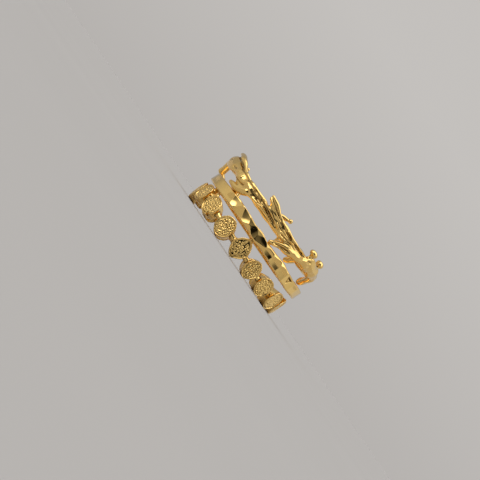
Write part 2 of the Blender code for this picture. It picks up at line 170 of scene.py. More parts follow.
def drop_modifiers(thing):
    """Replace an object's mesh by what its modifiers make of it."""
    bpy.context.view_layer.update()
    seen = thing.evaluated_get(bpy.context.evaluated_depsgraph_get())
    old, made = thing.data, bpy.data.meshes.new_from_object(seen)
    thing.modifiers.clear()
    thing.data = made
    made.name = thing.name
    bpy.data.meshes.remove(old)


print("helpers for nets are ready")

# %% [markdown]
# A mesh can also be read back into arrays, changed and written again. The average of each point's
# neighbours, worked out from the mesh's edges, is a smoother surface. The step from a point to that
# average says how hollow or how sharp the surface is there.

# %% Read, smooth and write a mesh
STEP_IN = 0.5
STEP_OUT = -0.53


def read_points(mesh):
    flat = np.empty(len(mesh.vertices) * 3)
    mesh.vertices.foreach_get("co", flat)
    return flat.reshape(-1, 3)


def read_normals(mesh):
    flat = np.empty(len(mesh.vertices) * 3, np.float32)
    mesh.vertex_normals.foreach_get("vector", flat)
    return flat.reshape(-1, 3).astype(float)


def write_points(mesh, points):
    mesh.vertices.foreach_set("co", points.astype(np.float32).ravel())
    mesh.update()


def read_edges(mesh):
    flat = np.empty(len(mesh.edges) * 2, np.int64)
    mesh.edges.foreach_get("vertices", flat)
    return flat.reshape(-1, 2)


def neighbour_mean(points, edges):
    """The average of each point's neighbours."""
    count = np.bincount(edges.ravel(), minlength=len(points))
    mean = np.empty_like(points)
    for axis in range(3):
        mean[:, axis] = (np.bincount(edges[:, 0], points[edges[:, 1], axis], len(points))
                         + np.bincount(edges[:, 1], points[edges[:, 0], axis], len(points))) / count
    return mean


def relax(points, edges, share):
    """Move each point a share of the way to the average of its neighbours."""
    return points + share * (neighbour_mean(points, edges) - points)


def rub(points, edges, rounds):
    """Smooth the points, and after each step in take one out, so that the form doesn't shrink."""
    for _ in range(rounds):
        points = relax(relax(points, edges, STEP_IN), edges, STEP_OUT)
    return points


print("helpers for smoothing are ready")

# %% [markdown]
# The row of discs is a chain of little round plates, each cast with a rim and a face like a gold nugget.
# One table gives a row to each disc: its turn, its width and height as shares of the common size, how far
# its foot stands off the floor, how round it is (2 is an ellipse, less is a diamond), how high its grains
# stand and how pitted it is. The outline is a formula, so that sixty or six hundred points cost the same.

# %% The discs' sizes
DISC_WIDTH = 2.85
DISC_HEIGHT = 3.1
DISC_WALL = 1.32
DISC_BACK_SHARE = 0.88
DISC_COLUMNS = 120
REAM_ALLOWANCE = 0.15
COLUMN_NAMES = ("turn", "width", "height", "foot", "round", "grain", "pits")
DISC_ROWS = [
    (1, 1.03, 1.15, 0.045, 1.55, 1.0, 0.15),
    (20, 0.92, 1.0, 0.0, 1.75, 0.8, 0.95),
    (39, 0.98, 0.95, 0.03, 2.1, 0.45, 1.0),
    (60, 1.02, 1.02, 0.0, 2.2, 0.4, 1.0),
    (80, 0.98, 0.98, 0.02, 2.0, 0.7, 0.6),
    (100, 1.0, 1.02, 0.03, 1.85, 0.9, 0.5),
    (121, 1.0, 1.0, 0.0, 2.1, 0.6, 0.8),
    (142, 0.97, 0.95, 0.04, 2.0, 1.0, 0.5),
    (160, 0.92, 1.0, 0.02, 1.8, 0.7, 0.7),
    (179, 1.02, 1.12, 0.03, 1.7, 1.0, 0.6),
    (200, 1.0, 1.0, 0.0, 2.0, 0.5, 0.9),
    (222, 1.02, 0.96, 0.06, 2.1, 0.9, 0.6),
    (244, 0.97, 0.98, 0.08, 1.9, 0.7, 0.8),
    (261.5, 0.93, 1.0, 0.0, 2.0, 0.5, 0.7),
    (278.5, 0.93, 0.92, 0.14, 2.1, 0.6, 0.6),
    (296, 0.98, 0.96, 0.22, 2.6, 0.4, 1.0),
    (317, 1.08, 0.96, 0.16, 2.1, 0.35, 1.0),
    (340, 1.04, 1.04, 0.08, 2.0, 0.9, 0.95),
]
DISCS = [dict(zip(COLUMN_NAMES, row)) for row in DISC_ROWS]


def disc_outline(row):
    """One disc's outline in its own plane, anticlockwise from its foot: across and up, in mm."""
    angle = np.radians(even_turns(DISC_COLUMNS))
    across, up = np.sin(angle), -np.cos(angle)
    reach = (np.abs(across) ** row["round"] + np.abs(up) ** row["round"]) ** (-1 / row["round"])
    half_width, half_height = DISC_WIDTH / 2 * row["width"], DISC_HEIGHT / 2 * row["height"]
    return np.stack([half_width * across * reach, half_height * up * reach])


print("discs:", len(DISCS), "- first outline is", np.ptp(disc_outline(DISCS[0]), axis=1).round(2), "mm")

# %% [markdown]
# A nugget face is a crowd of tiny grains with pits between them. On a loose grid each cell holds one
# grain at a random spot, and a point's height is that of the highest grain over it. Pits are the same
# thing turned down. The random numbers have a seed, so that every run gives the same face. Real casting
# grain is made of metal, so it is geometry here too, and not only a bump in the material.

# %% The nugget grain
GRAIN_PITCH = 0.28
GRAIN_RADIUS = 0.12
GRAIN_RISE = 0.07
GRAIN_KEPT = 0.9
PIT_PITCH = 0.36
PIT_RADIUS = 0.11
PIT_DEPTH = 0.13
FACE_LEAN = 0.06
LEAN_STEP = 17


def scattered_domes(across, up, pitch, radius, kept, seed):
    """Height from 0 to 1 over round domes, one in each kept cell of a loose grid."""
    random = np.random.default_rng(seed)
    cells = 64
    shift = random.uniform(0.18, 0.82, (cells, cells, 2))
    size = random.uniform(0.7, 1.0, (cells, cells)) * (random.uniform(size=(cells, cells)) < kept)
    column, line = np.floor(across / pitch).astype(int), np.floor(up / pitch).astype(int)
    highest = np.zeros_like(across)
    for sideways in (-1, 0, 1):
        for upwards in (-1, 0, 1):
            here = (column + sideways) % cells, (line + upwards) % cells
            off_x = across / pitch - (column + sideways) - shift[here][..., 0]
            off_y = up / pitch - (line + upwards) - shift[here][..., 1]
            near = np.hypot(off_x, off_y) * pitch / radius
            highest = np.maximum(highest, size[here] * np.clip(1 - near**2, 0, None) ** 0.8)
    return highest


def nugget_relief(across, up, row, seed):
    """How far the face of one disc stands above its flat floor, in mm, at points of its plane."""
    lean = math.radians(LEAN_STEP * seed)
    x = across * math.cos(lean) - up * math.sin(lean)
    y = across * math.sin(lean) + up * math.cos(lean)
    grains = scattered_domes(x, y, GRAIN_PITCH, GRAIN_RADIUS, GRAIN_KEPT, seed)
    pits = scattered_domes(x + 9, y + 9, PIT_PITCH, PIT_RADIUS, row["pits"], seed + 100)
    return GRAIN_RISE * row["grain"] * grains - PIT_DEPTH * pits + GRAIN_RISE * (1 - row["grain"]) * 0.7


sample = nugget_relief(np.linspace(-1, 1, 200), np.linspace(-1, 1, 200), DISCS[0], 0)
print("grain stands from", sample.min().round(3), "to", sample.max().round(3), "mm")

# %% [markdown]
# A disc in section is a coin with a raised, rounded rim: a sunk face, a bead at the edge, a straight wall
# and a smaller back. The section is a short list of steps from the middle of the face to the back, each
# with an inset from the outline and a depth from the rim's top. Carrying it round the outline gives a
# closed net. The back is pressed against the bore, as a reamer would leave it.

# %% The section of a disc
RIM_WIDTH = 0.17
RIM_ROUND = 0.075
RIM_RISE = 0.11
RIM_WOBBLE = 0.028
FACE_STEPS = 26
PINHOLE = {"disc": 16, "across": 0.76, "up": -1.12, "radius": 0.17, "depth": 0.6}


def disc_section():
    """Steps over a disc: inset from the outline in mm, depth in mm, and the share of the wall gone by."""
    quarter = np.radians(np.linspace(0, 90, 4))
    steps = [(RIM_WIDTH + 0.06, RIM_RISE, 0), (RIM_WIDTH + 0.01, RIM_RISE * 0.6, 0)]
    level_in, level_out = RIM_ROUND * (1 - np.cos(quarter)), RIM_ROUND * (1 - np.sin(quarter))
    steps += [(RIM_WIDTH - inset, depth, 0) for inset, depth in zip(level_in[1:], level_out[1:])]
    steps += [(inset, depth, 0) for inset, depth in zip(level_out, level_in)]
    steps += [(0, RIM_ROUND + (DISC_WALL - RIM_ROUND) * share, share) for share in (0.2, 0.5, 0.8)]
    return steps + [(0.03, DISC_WALL, 1), (0.12, DISC_WALL + REAM_ALLOWANCE, 1)]


print("steps over the rim and wall:", len(disc_section()))

# %% [markdown]
# No two discs are quite alike: each outline wobbles, each rim is worn a little, and one rim has a pinhole
# where a bubble of gas met it. The faces lean back a little towards their tops. Sine waves of several
# lengths, each started at random, make a wobble that closes on itself after a full turn.

# %% One disc
def wander(turn, seed, counts):
    """A slow, uneven wave from -1 to 1, with so many waves to the whole turn."""
    random = np.random.default_rng(seed)
    wave = sum(np.sin(np.radians(turn * count) + random.uniform(0, 6.28)) for count in counts)
    return wave / len(counts)


def pinhole(across, up):
    """The depth of the one round casting flaw, where a gas bubble met the rim."""
    off = np.hypot(across - PINHOLE["across"], up - PINHOLE["up"]) / PINHOLE["radius"]
    return PINHOLE["depth"] * np.exp(-off**4)


def ream(points):
    """Press the points that stand inside the bore out to its wall, and say how many there were."""
    inside = reach_of(points) < BORE_RADIUS
    points[inside, :2] *= (BORE_RADIUS / reach_of(points)[inside])[:, None]
    return int(inside.sum())


def disc_net(row, index):
    """Points and faces of one disc, in its place on the ring."""
    width, height = DISC_WIDTH * row["width"], DISC_HEIGHT * row["height"]
    across, up = disc_outline(row)
    around = even_turns(DISC_COLUMNS)
    pressed_in = RIM_WOBBLE * (wander(around, index, (3, 5, 8, 13)) - 1)
    across, up = across * (1 + pressed_in), up * (1 + pressed_in * (up > -0.9 * height / 2))
    worn = RIM_WOBBLE * (1 + wander(around, index + 50, (4, 7, 11, 17)))
    loops = []
    floor_share = 1 - 2 * (RIM_WIDTH + 0.08) / width
    for share in np.linspace(0, floor_share, FACE_STEPS + 1)[1:]:
        face_x, face_y = across * share, up * share
        fade = min(1.0, (floor_share - share) * width / 2 / 0.1 + 0.15)
        floor = RIM_RISE + FACE_LEAN * face_y
        loops.append((face_x, face_y, floor - fade * nugget_relief(face_x, face_y, row, index)))
    for inset, depth, gone in disc_section():
        taper = 1 - (1 - DISC_BACK_SHARE) * gone
        drop = -(1 - taper) * height / 2
        loops.append((across * taper * (1 - 2 * inset / width), up * taper * (1 - 2 * inset / height) + drop,
                      depth + worn * (depth < RIM_ROUND)))
    if index == PINHOLE["disc"]:
        loops = [(x, y, depth + pinhole(x, y) * (np.max(depth) < DISC_WALL / 2)) for x, y, depth in loops]
    middle = outward(row["turn"]) * (BORE_RADIUS + DISC_WALL) + UP * (DISC_HEIGHT * row["foot"] + height / 2)
    rings = np.array([middle + x[:, None] * along(row["turn"]) + y[:, None] * UP
                      - depth[:, None] * outward(row["turn"]) for x, y, depth in loops])
    points, faces = capped_net(rings)
    ream(points)
    return points, faces


points, faces = disc_net(DISCS[0], 0)
print("one disc has", len(points), "points and stands from", points[:, 2].min().round(3), "mm")

# %% [markdown]
# Between the discs a short neck of metal shows, thicker where it runs into them. One wire is carried all
# the way round through the middle of every disc, and a Boolean union joins the discs to it, so that the
# whole row is one closed skin without hidden walls inside.

# %% The neck wire
NECK_HEIGHT = 0.72
NECK_WALL = 0.72
NECK_ROWS = 216
NECK_COLUMNS = 20


def neck_level(turn):
    """The height of the neck wire at a turn: it glides from the middle of one disc to the next."""
    rows = sorted(DISCS, key=lambda row: row["turn"])
    turns = [row["turn"] for row in rows]
    middles = [DISC_HEIGHT * (row["foot"] + row["height"] / 2) for row in rows]
    turns = [turns[-1] - 360] + turns + [turns[0] + 360]
    middles = [middles[-1]] + middles + [middles[0]]
    after = int(np.searchsorted(turns, turn, side="right"))
    share = (turn - turns[after - 1]) / (turns[after] - turns[after - 1])
    level = middles[after - 1] + (middles[after] - middles[after - 1]) * (1 - math.cos(math.pi * share)) / 2
    return level, abs(2 * share - 1)


def neck_wire():
    """The wire through the discs, as a closed net."""
    around = np.radians(even_turns(NECK_COLUMNS))
    rings = []
    for turn in even_turns(NECK_ROWS):
        level, nearness = neck_level(turn)
        swell = 1 + min(0.7, 6 * nearness**2)
        radius = BORE_RADIUS + DISC_WALL / 2 + NECK_WALL / 2 * np.sin(around)
        height = level + NECK_HEIGHT / 2 * swell * np.cos(around)
        rings.append(outward(turn) * radius[:, None] + UP * height[:, None])
    faces = net_faces(NECK_ROWS, NECK_COLUMNS, closed=True).tolist()
    return make_object("disc_row", np.array(rings).reshape(-1, 3), faces)


print("the neck wire starts", round(neck_level(0.0)[0], 2), "mm up")

# %% [markdown]
# The discs are set on the wire by a Boolean union with a whole collection as its other side, so that one
# modifier joins all eighteen. It needs closed meshes whose faces look outwards. The discs themselves are
# deleted afterwards, because the row now holds their metal.

# %% The row of discs
def face_out(thing):
    """Turn all the faces of a closed mesh outwards."""
    bm = bmesh.new()
    bm.from_mesh(thing.data)
    bmesh.ops.recalc_face_normals(bm, faces=bm.faces)
    bm.to_mesh(thing.data)
    bm.free()


disc_row = neck_wire()
face_out(disc_row)
discs = bpy.data.collections.new("discs")
for index, row in enumerate(DISCS):
    one = make_object(f"disc_{index + 1}", *disc_net(row, index))
    bpy.context.scene.collection.objects.unlink(one)
    discs.objects.link(one)
    face_out(one)
soldered = disc_row.modifiers.new("discs on the wire", "BOOLEAN")
soldered.operation = "UNION"
soldered.operand_type = "COLLECTION"
soldered.collection = discs
soldered.solver = "EXACT"
drop_modifiers(disc_row)
for one in list(discs.objects):
    bpy.data.objects.remove(one)
bpy.data.collections.remove(discs)
print("row of discs:", len(disc_row.data.polygons), "faces")

# %% [markdown]
# The middle band is plain wire struck all over with a small hammer. Each blow leaves a flat or slightly
# hollow facet, and where two facets meet there is a crisp ridge that flashes in the light. The band's
# face is worked out as a height: for each point, every blow says how far out the metal may stand, and
# the lowest answer wins. A soft minimum rounds the ridges by a hair, as polishing does.

# %% The hammer blows
BAND_FOOT = 3.8045
BAND_HEIGHT = 1.6
BAND_WALL = 1.4
BAND_EDGE = 0.18
RIDGE_SHARPNESS = 60
BLOW_NAMES = ("turn", "level", "depth", "tilt", "round", "bowl")
BLOW_ROWS = [
    (-104, 0.0, 0.06, 3, 7, 4),
    (-84, 0.1, 0.05, 2, 11, 6),
    (-70, -0.1, 0.03, -2, 13, 9),
    (-54, 0.0, 0.02, 1, 16, 12),
    (-38, 0.0, 0.08, -3, 3, 5),
    (-31, 0.1, 0.22, 6, 2.5, 4),
    (-24, -0.2, 0.24, -4, 4, 4),
    (-17, 0.0, 0.2, 8, 3, 5),
    (-10, 0.4, 0.24, 14, 5, 5),
    (-8, -0.4, 0.2, -14, 4, 4),
    (-4, 0.1, 0.22, 3, 2, 6),
    (0, 0.3, 0.32, 26, 1.6, 8),
    (5, 0.1, 0.2, 8, 4, 3),
    (11, -0.4, 0.24, -12, 5, 2.5),
    (15, 0.4, 0.3, 26, 4, 6),
    (16, -0.2, 0.24, 3, 2, 5),
    (25, 0.4, 0.28, 24, 3, 6),
    (26, -0.3, 0.3, 3, 2, 6),
    (32, 0.4, 0.2, 16, 4, 5),
    (36, -0.2, 0.18, 2, 4, 8),
    (49, 0.0, 0.2, 3, 5, 10),
    (60, -0.2, 0.05, 3, 6, 7),
    (72, 0.1, 0.04, 2, 10, 6),
    (84, 0.0, 0.1, -3, 5, 4),
    (97, 0.2, 0.14, 8, 3.6, 3),
    (109, -0.2, 0.15, -9, 3.6, 4),
    (121, 0.0, 0.12, 3, 4.5, 2.5),
    (132, 0.3, 0.17, 10, 3.2, 4),
    (141, -0.2, 0.16, -7, 2.8, 3),
    (153, 0.1, 0.13, 5, 5, 2.5),
    (166, 0.0, 0.16, -2, 3, 6),
    (177, 0.3, 0.16, 12, 3.6, 3),
    (186, -0.2, 0.13, -8, 4.5, 2.5),
    (198, 0.0, 0.17, 3, 2.8, 4),
    (210, 0.2, 0.12, 8, 5, 3),
    (221, -0.1, 0.16, -4, 2.8, 5),
    (233, 0.2, 0.14, 7, 3.6, 2.5),
    (246, 0.0, 0.1, -2, 5, 4),
]
BLOWS = [dict(zip(BLOW_NAMES, row)) for row in BLOW_ROWS]
PUNCH_MARK = {"turn": 48.4, "level": 0.09, "width": 1.3, "height": 1.0, "depth": 0.16}
print("blows:", len(BLOWS))

# %% [markdown]
# A tilt of a blow leans its facet up or down, and round and bowl are the radii of its hollow along and
# across the band. A point asks only the blows less than thirty degrees away. A small punch mark with three
# corners is set into the face near the right end: a groove round a raised middle.

# %% The struck face
def struck_reach(turn, level):
    """How far out each point of the band's face stands after all the blows. Level is from the middle."""
    outer = BORE_RADIUS + BAND_WALL
    left = [np.full(turn.shape, outer)]
    for blow in BLOWS:
        aside = turn_from(turn, blow["turn"])
        s = np.radians(aside) * outer
        z = level - blow["level"] * BAND_HEIGHT
        hollow = s**2 / (2 * blow["round"]) + z**2 / (2 * blow["bowl"])
        reach = outer - blow["depth"] - math.tan(math.radians(blow["tilt"])) * z + hollow
        left.append(np.where(np.abs(aside) < 30, reach, outer + 1))
    left = np.array(left)
    lowest = left.min(axis=0)
    return lowest - np.log(np.exp(-RIDGE_SHARPNESS * (left - lowest)).sum(axis=0)) / RIDGE_SHARPNESS


def punched(turn, level):
    """The depth of the one three-cornered punch mark: a groove round a raised middle."""
    outer = BORE_RADIUS + BAND_WALL
    x = np.radians(turn_from(turn, PUNCH_MARK["turn"])) * outer / (PUNCH_MARK["width"] / 2)
    y = (level - PUNCH_MARK["level"] * BAND_HEIGHT) / (PUNCH_MARK["height"] / 2)
    inside = np.minimum(np.minimum(0.9 - y, 1.1 + y - 1.9 * x), 1.1 + y + 1.9 * x) / 2
    return PUNCH_MARK["depth"] * (np.clip(inside / 0.13, 0, 1) - 0.85 * np.clip((inside - 0.2) / 0.12, 0, 1))


turns = np.linspace(-60, 60, 400)
cut = BORE_RADIUS + BAND_WALL - struck_reach(turns, np.zeros_like(turns))
print("the front is struck from", cut.min().round(3), "to", cut.max().round(3), "mm deep")

# %% [markdown]
# The band itself is one net: a section with rounded corners, carried round the bore. Only the points on
# its outer half follow the blows. The top and foot of the band are never quite straight after hammering,
# because a blow spreads the metal sideways. A short table says where the front edges swell or stay
# back, each row a soft hump, and a slow random wave moves the edges all round.

# %% The band's edges
BAND_ROWS = 1300
FACE_POINTS = 28
CORNER_POINTS = 5
FLAT_SHARES = (0.08, 0.35, 0.65, 0.92)
EDGE_WANDER = 0.035
SPREAD_NAMES = ("turn", "top", "foot", "width")
SPREAD_ROWS = [
    (-62, -0.06, 0.1, 8),
    (-46, 0.02, 0.08, 7),
    (-31, 0.13, -0.1, 7),
    (-18, 0.06, -0.08, 5),
    (-8, -0.07, -0.11, 4),
    (1.5, 0.11, 0.05, 4),
    (10, -0.14, -0.13, 5),
    (19, -0.03, -0.12, 5),
    (31, 0.14, 0.0, 6),
    (43, 0.0, 0.08, 6),
    (56, -0.08, 0.13, 7),
]
SPREADS = [dict(zip(SPREAD_NAMES, row)) for row in SPREAD_ROWS]


def spread(turn, edge):
    """How far one edge of the band is pushed out by the blows near it, in mm."""
    humps = [row[edge] * np.exp(-turn_from(turn, row["turn"]) ** 2 / row["width"] ** 2)
             for row in SPREADS]
    return sum(humps)


print("the top edge is pushed out by", round(float(spread(-31.0, "top")), 3), "mm at its left swelling")

# %% [markdown]
# The section is listed corner by corner, with extra points on its flat sides so that the deep blows shade
# evenly. Each point's radius then comes from the struck face, and its height from the spread edges.

# %% The hammered band
def band_section():
    """The band's section, all the way round: distance from the axis and height above its foot."""
    inner, outer = BORE_RADIUS, BORE_RADIUS + BAND_WALL
    corners = [(outer, 0, BAND_EDGE, -90), (outer, BAND_HEIGHT, BAND_EDGE, 0),
               (inner, BAND_HEIGHT, BAND_EDGE / 2, 90), (inner, 0, BAND_EDGE / 2, 180)]
    section = []
    for radius, height, rounding, start in corners:
        in_x = -rounding if radius == outer else rounding
        in_y = rounding if height == 0 else -rounding
        turned = np.radians(start + np.linspace(0, 90, CORNER_POINTS))
        across, up = radius + in_x, height + in_y
        section += [(across + rounding * math.cos(a), up + rounding * math.sin(a)) for a in turned]
        if (radius, height) == (outer, 0):
            steps = np.linspace(BAND_EDGE, BAND_HEIGHT - BAND_EDGE, FACE_POINTS)[1:-1]
            section += [(outer, step) for step in steps]
        if (radius, height) in ((outer, BAND_HEIGHT), (inner, 0)):
            shares = FLAT_SHARES if radius == outer else [1 - share for share in FLAT_SHARES[::-1]]
            run = BAND_WALL - BAND_EDGE * 1.5
            section += [(outer - BAND_EDGE - run * share, height) for share in shares]
    return np.array(section)


section = band_section()
turns = even_turns(BAND_ROWS)[:, None]
level = section[None, :, 1] - BAND_HEIGHT / 2 + 0 * turns
outer_share = np.clip((section[:, 0] - BORE_RADIUS) / BAND_WALL, 0, 1)[None, :]
stamped = punched(turns + 0 * level, level)
face = struck_reach(turns + 0 * level, level) - stamped
radius = section[None, :, 0] - (BORE_RADIUS + BAND_WALL - face) * outer_share
nearer_top = section[None, :, 1] / BAND_HEIGHT
top_edge = spread(turns, "top") + EDGE_WANDER * (wander(turns, 5, (7, 12, 19, 31)) - 1)
foot_edge = spread(turns, "foot") - EDGE_WANDER * (wander(turns, 6, (5, 11, 17, 29)) + 1)
height = BAND_FOOT + section[None, :, 1] + top_edge * nearer_top - foot_edge * (1 - nearer_top)
band_points = outward(turns[:, 0])[:, None, :] * radius[..., None] + UP * height[..., None]
hammered_band = make_object("hammered_band", band_points.reshape(-1, 3),
                            net_faces(BAND_ROWS, len(section), closed=True).tolist())
face_out(hammered_band)
print("hammered band:", len(hammered_band.data.polygons), "faces")

# %% [markdown]
# The top band is a tangle of coral: a few long twigs that part, cross and swell, with buds and small
# balls at their ends. A table says where each twig runs: its turn, its height as a share of the band,
# and its thickness as a share of one common stem. A smooth curve goes through the rows of the table, and
# an oval section is carried along it. The tips are rounded off as wax softens under a hot tool.

# %% The twigs' routes
CORAL_HEIGHT = 4.8
CORAL_WALL = 1.1
CORAL_STEM = 1.0
CORAL_SINK = 0.05
CORAL_STAND_OFF = 0.45
CORAL_OFFSET = 0.65
TWIG_STEP = 0.2
TWIG_SIDES = 20
SWAY_LENGTHS = (2.1, 3.3, 5.1)
SWELL_SHARE = 0.17
SWAY_LEVEL = 0.014
SWAY_OUT = 0.1
TIP_SHARE = 0.85
TWIGS = {
    "left_body": [(-112, 0.48, 1.3), (-96, 0.5, 1.95), (-80, 0.5, 2.1), (-66, 0.48, 1.8),
                  (-54, 0.445, 1.5), (-45, 0.4, 1.8), (-37, 0.4, 1.85), (-31, 0.42, 1.15),
                  (-26, 0.43, 0.7)],
    "left_leg": [(-92, 0.48, 1.5), (-96, 0.34, 1.25), (-99, 0.2, 1.15), (-101, 0.08, 1.05)],
    "left_twig": [(-50, 0.6, 0.55), (-57, 0.67, 0.75), (-66, 0.75, 0.85), (-74, 0.795, 0.85),
                  (-80, 0.81, 0.75)],
    "low_bud": [(-33, 0.27, 1.0), (-38, 0.17, 1.1), (-43, 0.11, 1.0), (-48, 0.1, 0.75), (-52, 0.09, 0.5)],
    "upper_rail": [(-64, 0.56, 0.6), (-53, 0.565, 0.6), (-42, 0.555, 0.55), (-31, 0.545, 0.5),
                   (-24, 0.53, 0.55), (-18, 0.525, 0.55), (-12, 0.495, 0.6), (-6, 0.465, 0.6),
                   (0, 0.43, 0.55), (7, 0.4, 0.45)],
    "lower_rail": [(-42, 0.22, 0.75), (-36, 0.24, 0.75), (-30, 0.3, 0.7), (-24, 0.345, 0.6),
                   (-17, 0.365, 0.5), (-9, 0.365, 0.5), (0, 0.35, 0.48), (7, 0.355, 0.5),
                   (13, 0.385, 0.52), (20, 0.43, 0.55), (28, 0.49, 0.55), (36, 0.53, 0.5),
                   (43, 0.55, 0.5)],
    "mid_bud_top": [(14, 0.585, 0.4), (4, 0.62, 0.5), (-3, 0.675, 0.6), (-10, 0.745, 0.65),
                    (-15, 0.785, 0.62), (-18, 0.81, 0.5)],
    "mid_bud_low": [(8, 0.545, 0.5), (1, 0.565, 0.6), (-5, 0.6, 0.72), (-10, 0.65, 0.8),
                    (-14.5, 0.71, 0.75), (-17.5, 0.745, 0.55)],
    "mid_web": [(2, 0.53, 0.45), (-4, 0.545, 0.6), (-9, 0.565, 0.65), (-13, 0.61, 0.5)],
    "upper_right_rail": [(2, 0.635, 0.5), (8, 0.625, 0.48), (15, 0.605, 0.45), (24, 0.6, 0.4),
                         (33, 0.605, 0.4), (41, 0.61, 0.45), (49, 0.62, 0.7)],
    "mid_leaf": [(-6, 0.46, 0.5), (2, 0.455, 0.65), (10, 0.475, 0.65), (18, 0.51, 0.55), (27, 0.54, 0.45),
                 (37, 0.56, 0.45)],
    "big_bud": [(9, 0.05, 0.55), (13, 0.14, 0.95), (19, 0.24, 1.2), (26, 0.34, 1.35), (33, 0.41, 1.35),
                (41, 0.47, 1.3), (50, 0.52, 1.4)],
    "right_head": [(40, 0.51, 1.0), (46, 0.56, 1.8), (54, 0.585, 2.05), (64, 0.57, 1.8), (77, 0.555, 1.5),
                   (92, 0.53, 1.35), (106, 0.52, 1.1)],
    "right_leg": [(86, 0.48, 1.3), (94, 0.35, 1.35), (101, 0.23, 1.3), (105, 0.17, 1.2)],
    "first_ball_neck": [(44, 0.6, 0.8), (43.5, 0.72, 0.55), (43.5, 0.82, 0.6)],
    "second_ball_neck": [(105, 0.55, 0.8), (110, 0.7, 0.65), (113, 0.86, 0.65)],
    "back_upper_rail": [(-112, 0.54, 0.8), (-124, 0.51, 0.65), (-138, 0.5, 0.6), (-154, 0.5, 0.6),
                        (-170, 0.56, 0.6), (-186, 0.63, 0.65), (-200, 0.66, 0.7), (-216, 0.68, 0.75),
                        (-232, 0.66, 0.7), (-246, 0.6, 0.8), (-258, 0.57, 0.9)],
    "back_lower_rail": [(-108, 0.42, 0.9), (-122, 0.41, 0.65), (-138, 0.4, 0.6), (-154, 0.41, 0.6),
                        (-172, 0.43, 0.65), (-190, 0.44, 0.6), (-206, 0.43, 0.6), (-222, 0.42, 0.7),
                        (-238, 0.42, 0.7), (-254, 0.46, 0.9)],
    "back_bridge": [(-158, 0.4, 0.5), (-165, 0.48, 0.6), (-172, 0.58, 0.5)],
    "back_cross": [(-196, 0.44, 0.5), (-205, 0.51, 0.65), (-213, 0.6, 0.6), (-221, 0.67, 0.5)],
    "back_leaf": [(-134, 0.5, 0.5), (-143, 0.45, 0.7), (-151, 0.42, 0.6)],
    "back_twig": [(-166, 0.5, 0.6), (-172, 0.64, 0.75), (-178, 0.81, 0.75), (-184, 0.92, 0.65),
                  (-186, 0.95, 0.5)],
    "back_left_bud": [(-119, 0.5, 0.5), (-122, 0.64, 0.5), (-124, 0.78, 0.45)],
    "back_right_bud": [(-222, 0.44, 0.8), (-217, 0.32, 1.0), (-215, 0.24, 1.0), (-214, 0.19, 0.8)],
}
print("twigs in the table:", len(TWIGS))

# %% [markdown]
# A real twig is never an even rod. Its thickness swells and its route sways a little, up and down and in
# and out, by slow waves that differ from twig to twig. The section is an oval, because the wall of the
# band is only so deep.

# %% Carry the twigs along their routes
def coral_level(share):
    """The height at a share of the coral band."""
    return BAND_FOOT + BAND_HEIGHT - CORAL_SINK + share * CORAL_HEIGHT


def coral_radius(turn):
    """The middle of the coral's wall, which lies a little off the bore's axis."""
    return BORE_RADIUS + CORAL_WALL / 2 + CORAL_STAND_OFF - CORAL_OFFSET * np.sin(np.radians(turn))


def coral_spot(turn, share, out=0.0):
    """Points in the middle of the coral's wall, or further out."""
    turn, share = np.asarray(turn, float), np.asarray(share, float)
    return outward(turn) * (coral_radius(turn) + out)[..., None] + UP * coral_level(share)[..., None]


def smooth_curve(rows):
    """Rows a step apart on a smooth curve through the rows of a table."""
    rows = np.array(rows, float)
    padded = np.concatenate([rows[:1], rows, rows[-1:]])
    found = []
    for a, b, c, d in zip(padded, padded[1:], padded[2:], padded[3:]):
        run = math.hypot(math.radians(c[0] - b[0]) * BORE_RADIUS, (c[1] - b[1]) * CORAL_HEIGHT)
        steps = max(1, round(run / TWIG_STEP))
        for t in np.arange(steps) / steps:
            found.append(0.5 * (2 * b + (c - a) * t + (2 * a - 5 * b + 4 * c - d) * t**2
                                + (3 * b - a - 3 * c + d) * t**3))
    return np.array(found + [rows[-1]])


def sway(count, seed):
    """A slow, uneven wave from about -1 to 1 along so many sections of a twig."""
    random = np.random.default_rng(seed)
    gone = np.arange(count) * TWIG_STEP
    waves = [np.sin(2 * math.pi * gone / length + random.uniform(0, 6.28)) for length in SWAY_LENGTHS]
    return sum(waves) / len(waves)


def twig_net(rows, seed, out=0.0):
    """Points and faces of one twig: an oval carried along its route, with round tips."""
    fine = smooth_curve(rows)
    fine[:, 2] *= 1 + SWELL_SHARE * sway(len(fine), seed)
    fine[:, 1] += SWAY_LEVEL * sway(len(fine), seed + 50)
    route = coral_spot(fine[:, 0], fine[:, 1], out + SWAY_OUT * sway(len(fine), seed + 100))
    ahead = np.gradient(route, axis=0)
    ahead /= np.linalg.norm(ahead, axis=1)[:, None]
    half = fine[:, 2] * CORAL_STEM / 2
    angle = np.radians(even_turns(TWIG_SIDES))
    tips = np.radians(np.array([75, 55, 30]))
    stations = [(0, -math.sin(a), math.cos(a)) for a in tips] + [(place, 0, 1) for place in range(len(fine))]
    stations += [(len(fine) - 1, math.sin(a), math.cos(a)) for a in tips[::-1]]
    rings = []
    for place, shift, share in stations:
        depth = outward(fine[place, 0])
        depth = depth - ahead[place] * depth.dot(ahead[place])
        depth /= np.linalg.norm(depth)
        side = np.cross(ahead[place], depth)
        wall = min(1.15 * half[place], CORAL_WALL / 2)
        middle = route[place] + ahead[place] * half[place] * TIP_SHARE * shift
        rings.append(middle + np.outer(np.sin(angle) * wall * share, depth)
                     + np.outer(np.cos(angle) * half[place] * share, side))
    return capped_net(np.array(rings))


longest = max(len(smooth_curve(rows)) for rows in TWIGS.values())
print("twigs:", len(TWIGS), "- the longest has", longest, "sections")

# %% [markdown]
# Three twigs end in a ball, and short feet lean in from the twigs to the hammered band, where the coral
# band is soldered on. A ball is a stack of rings, and a foot is four rings between a twig and its seat.

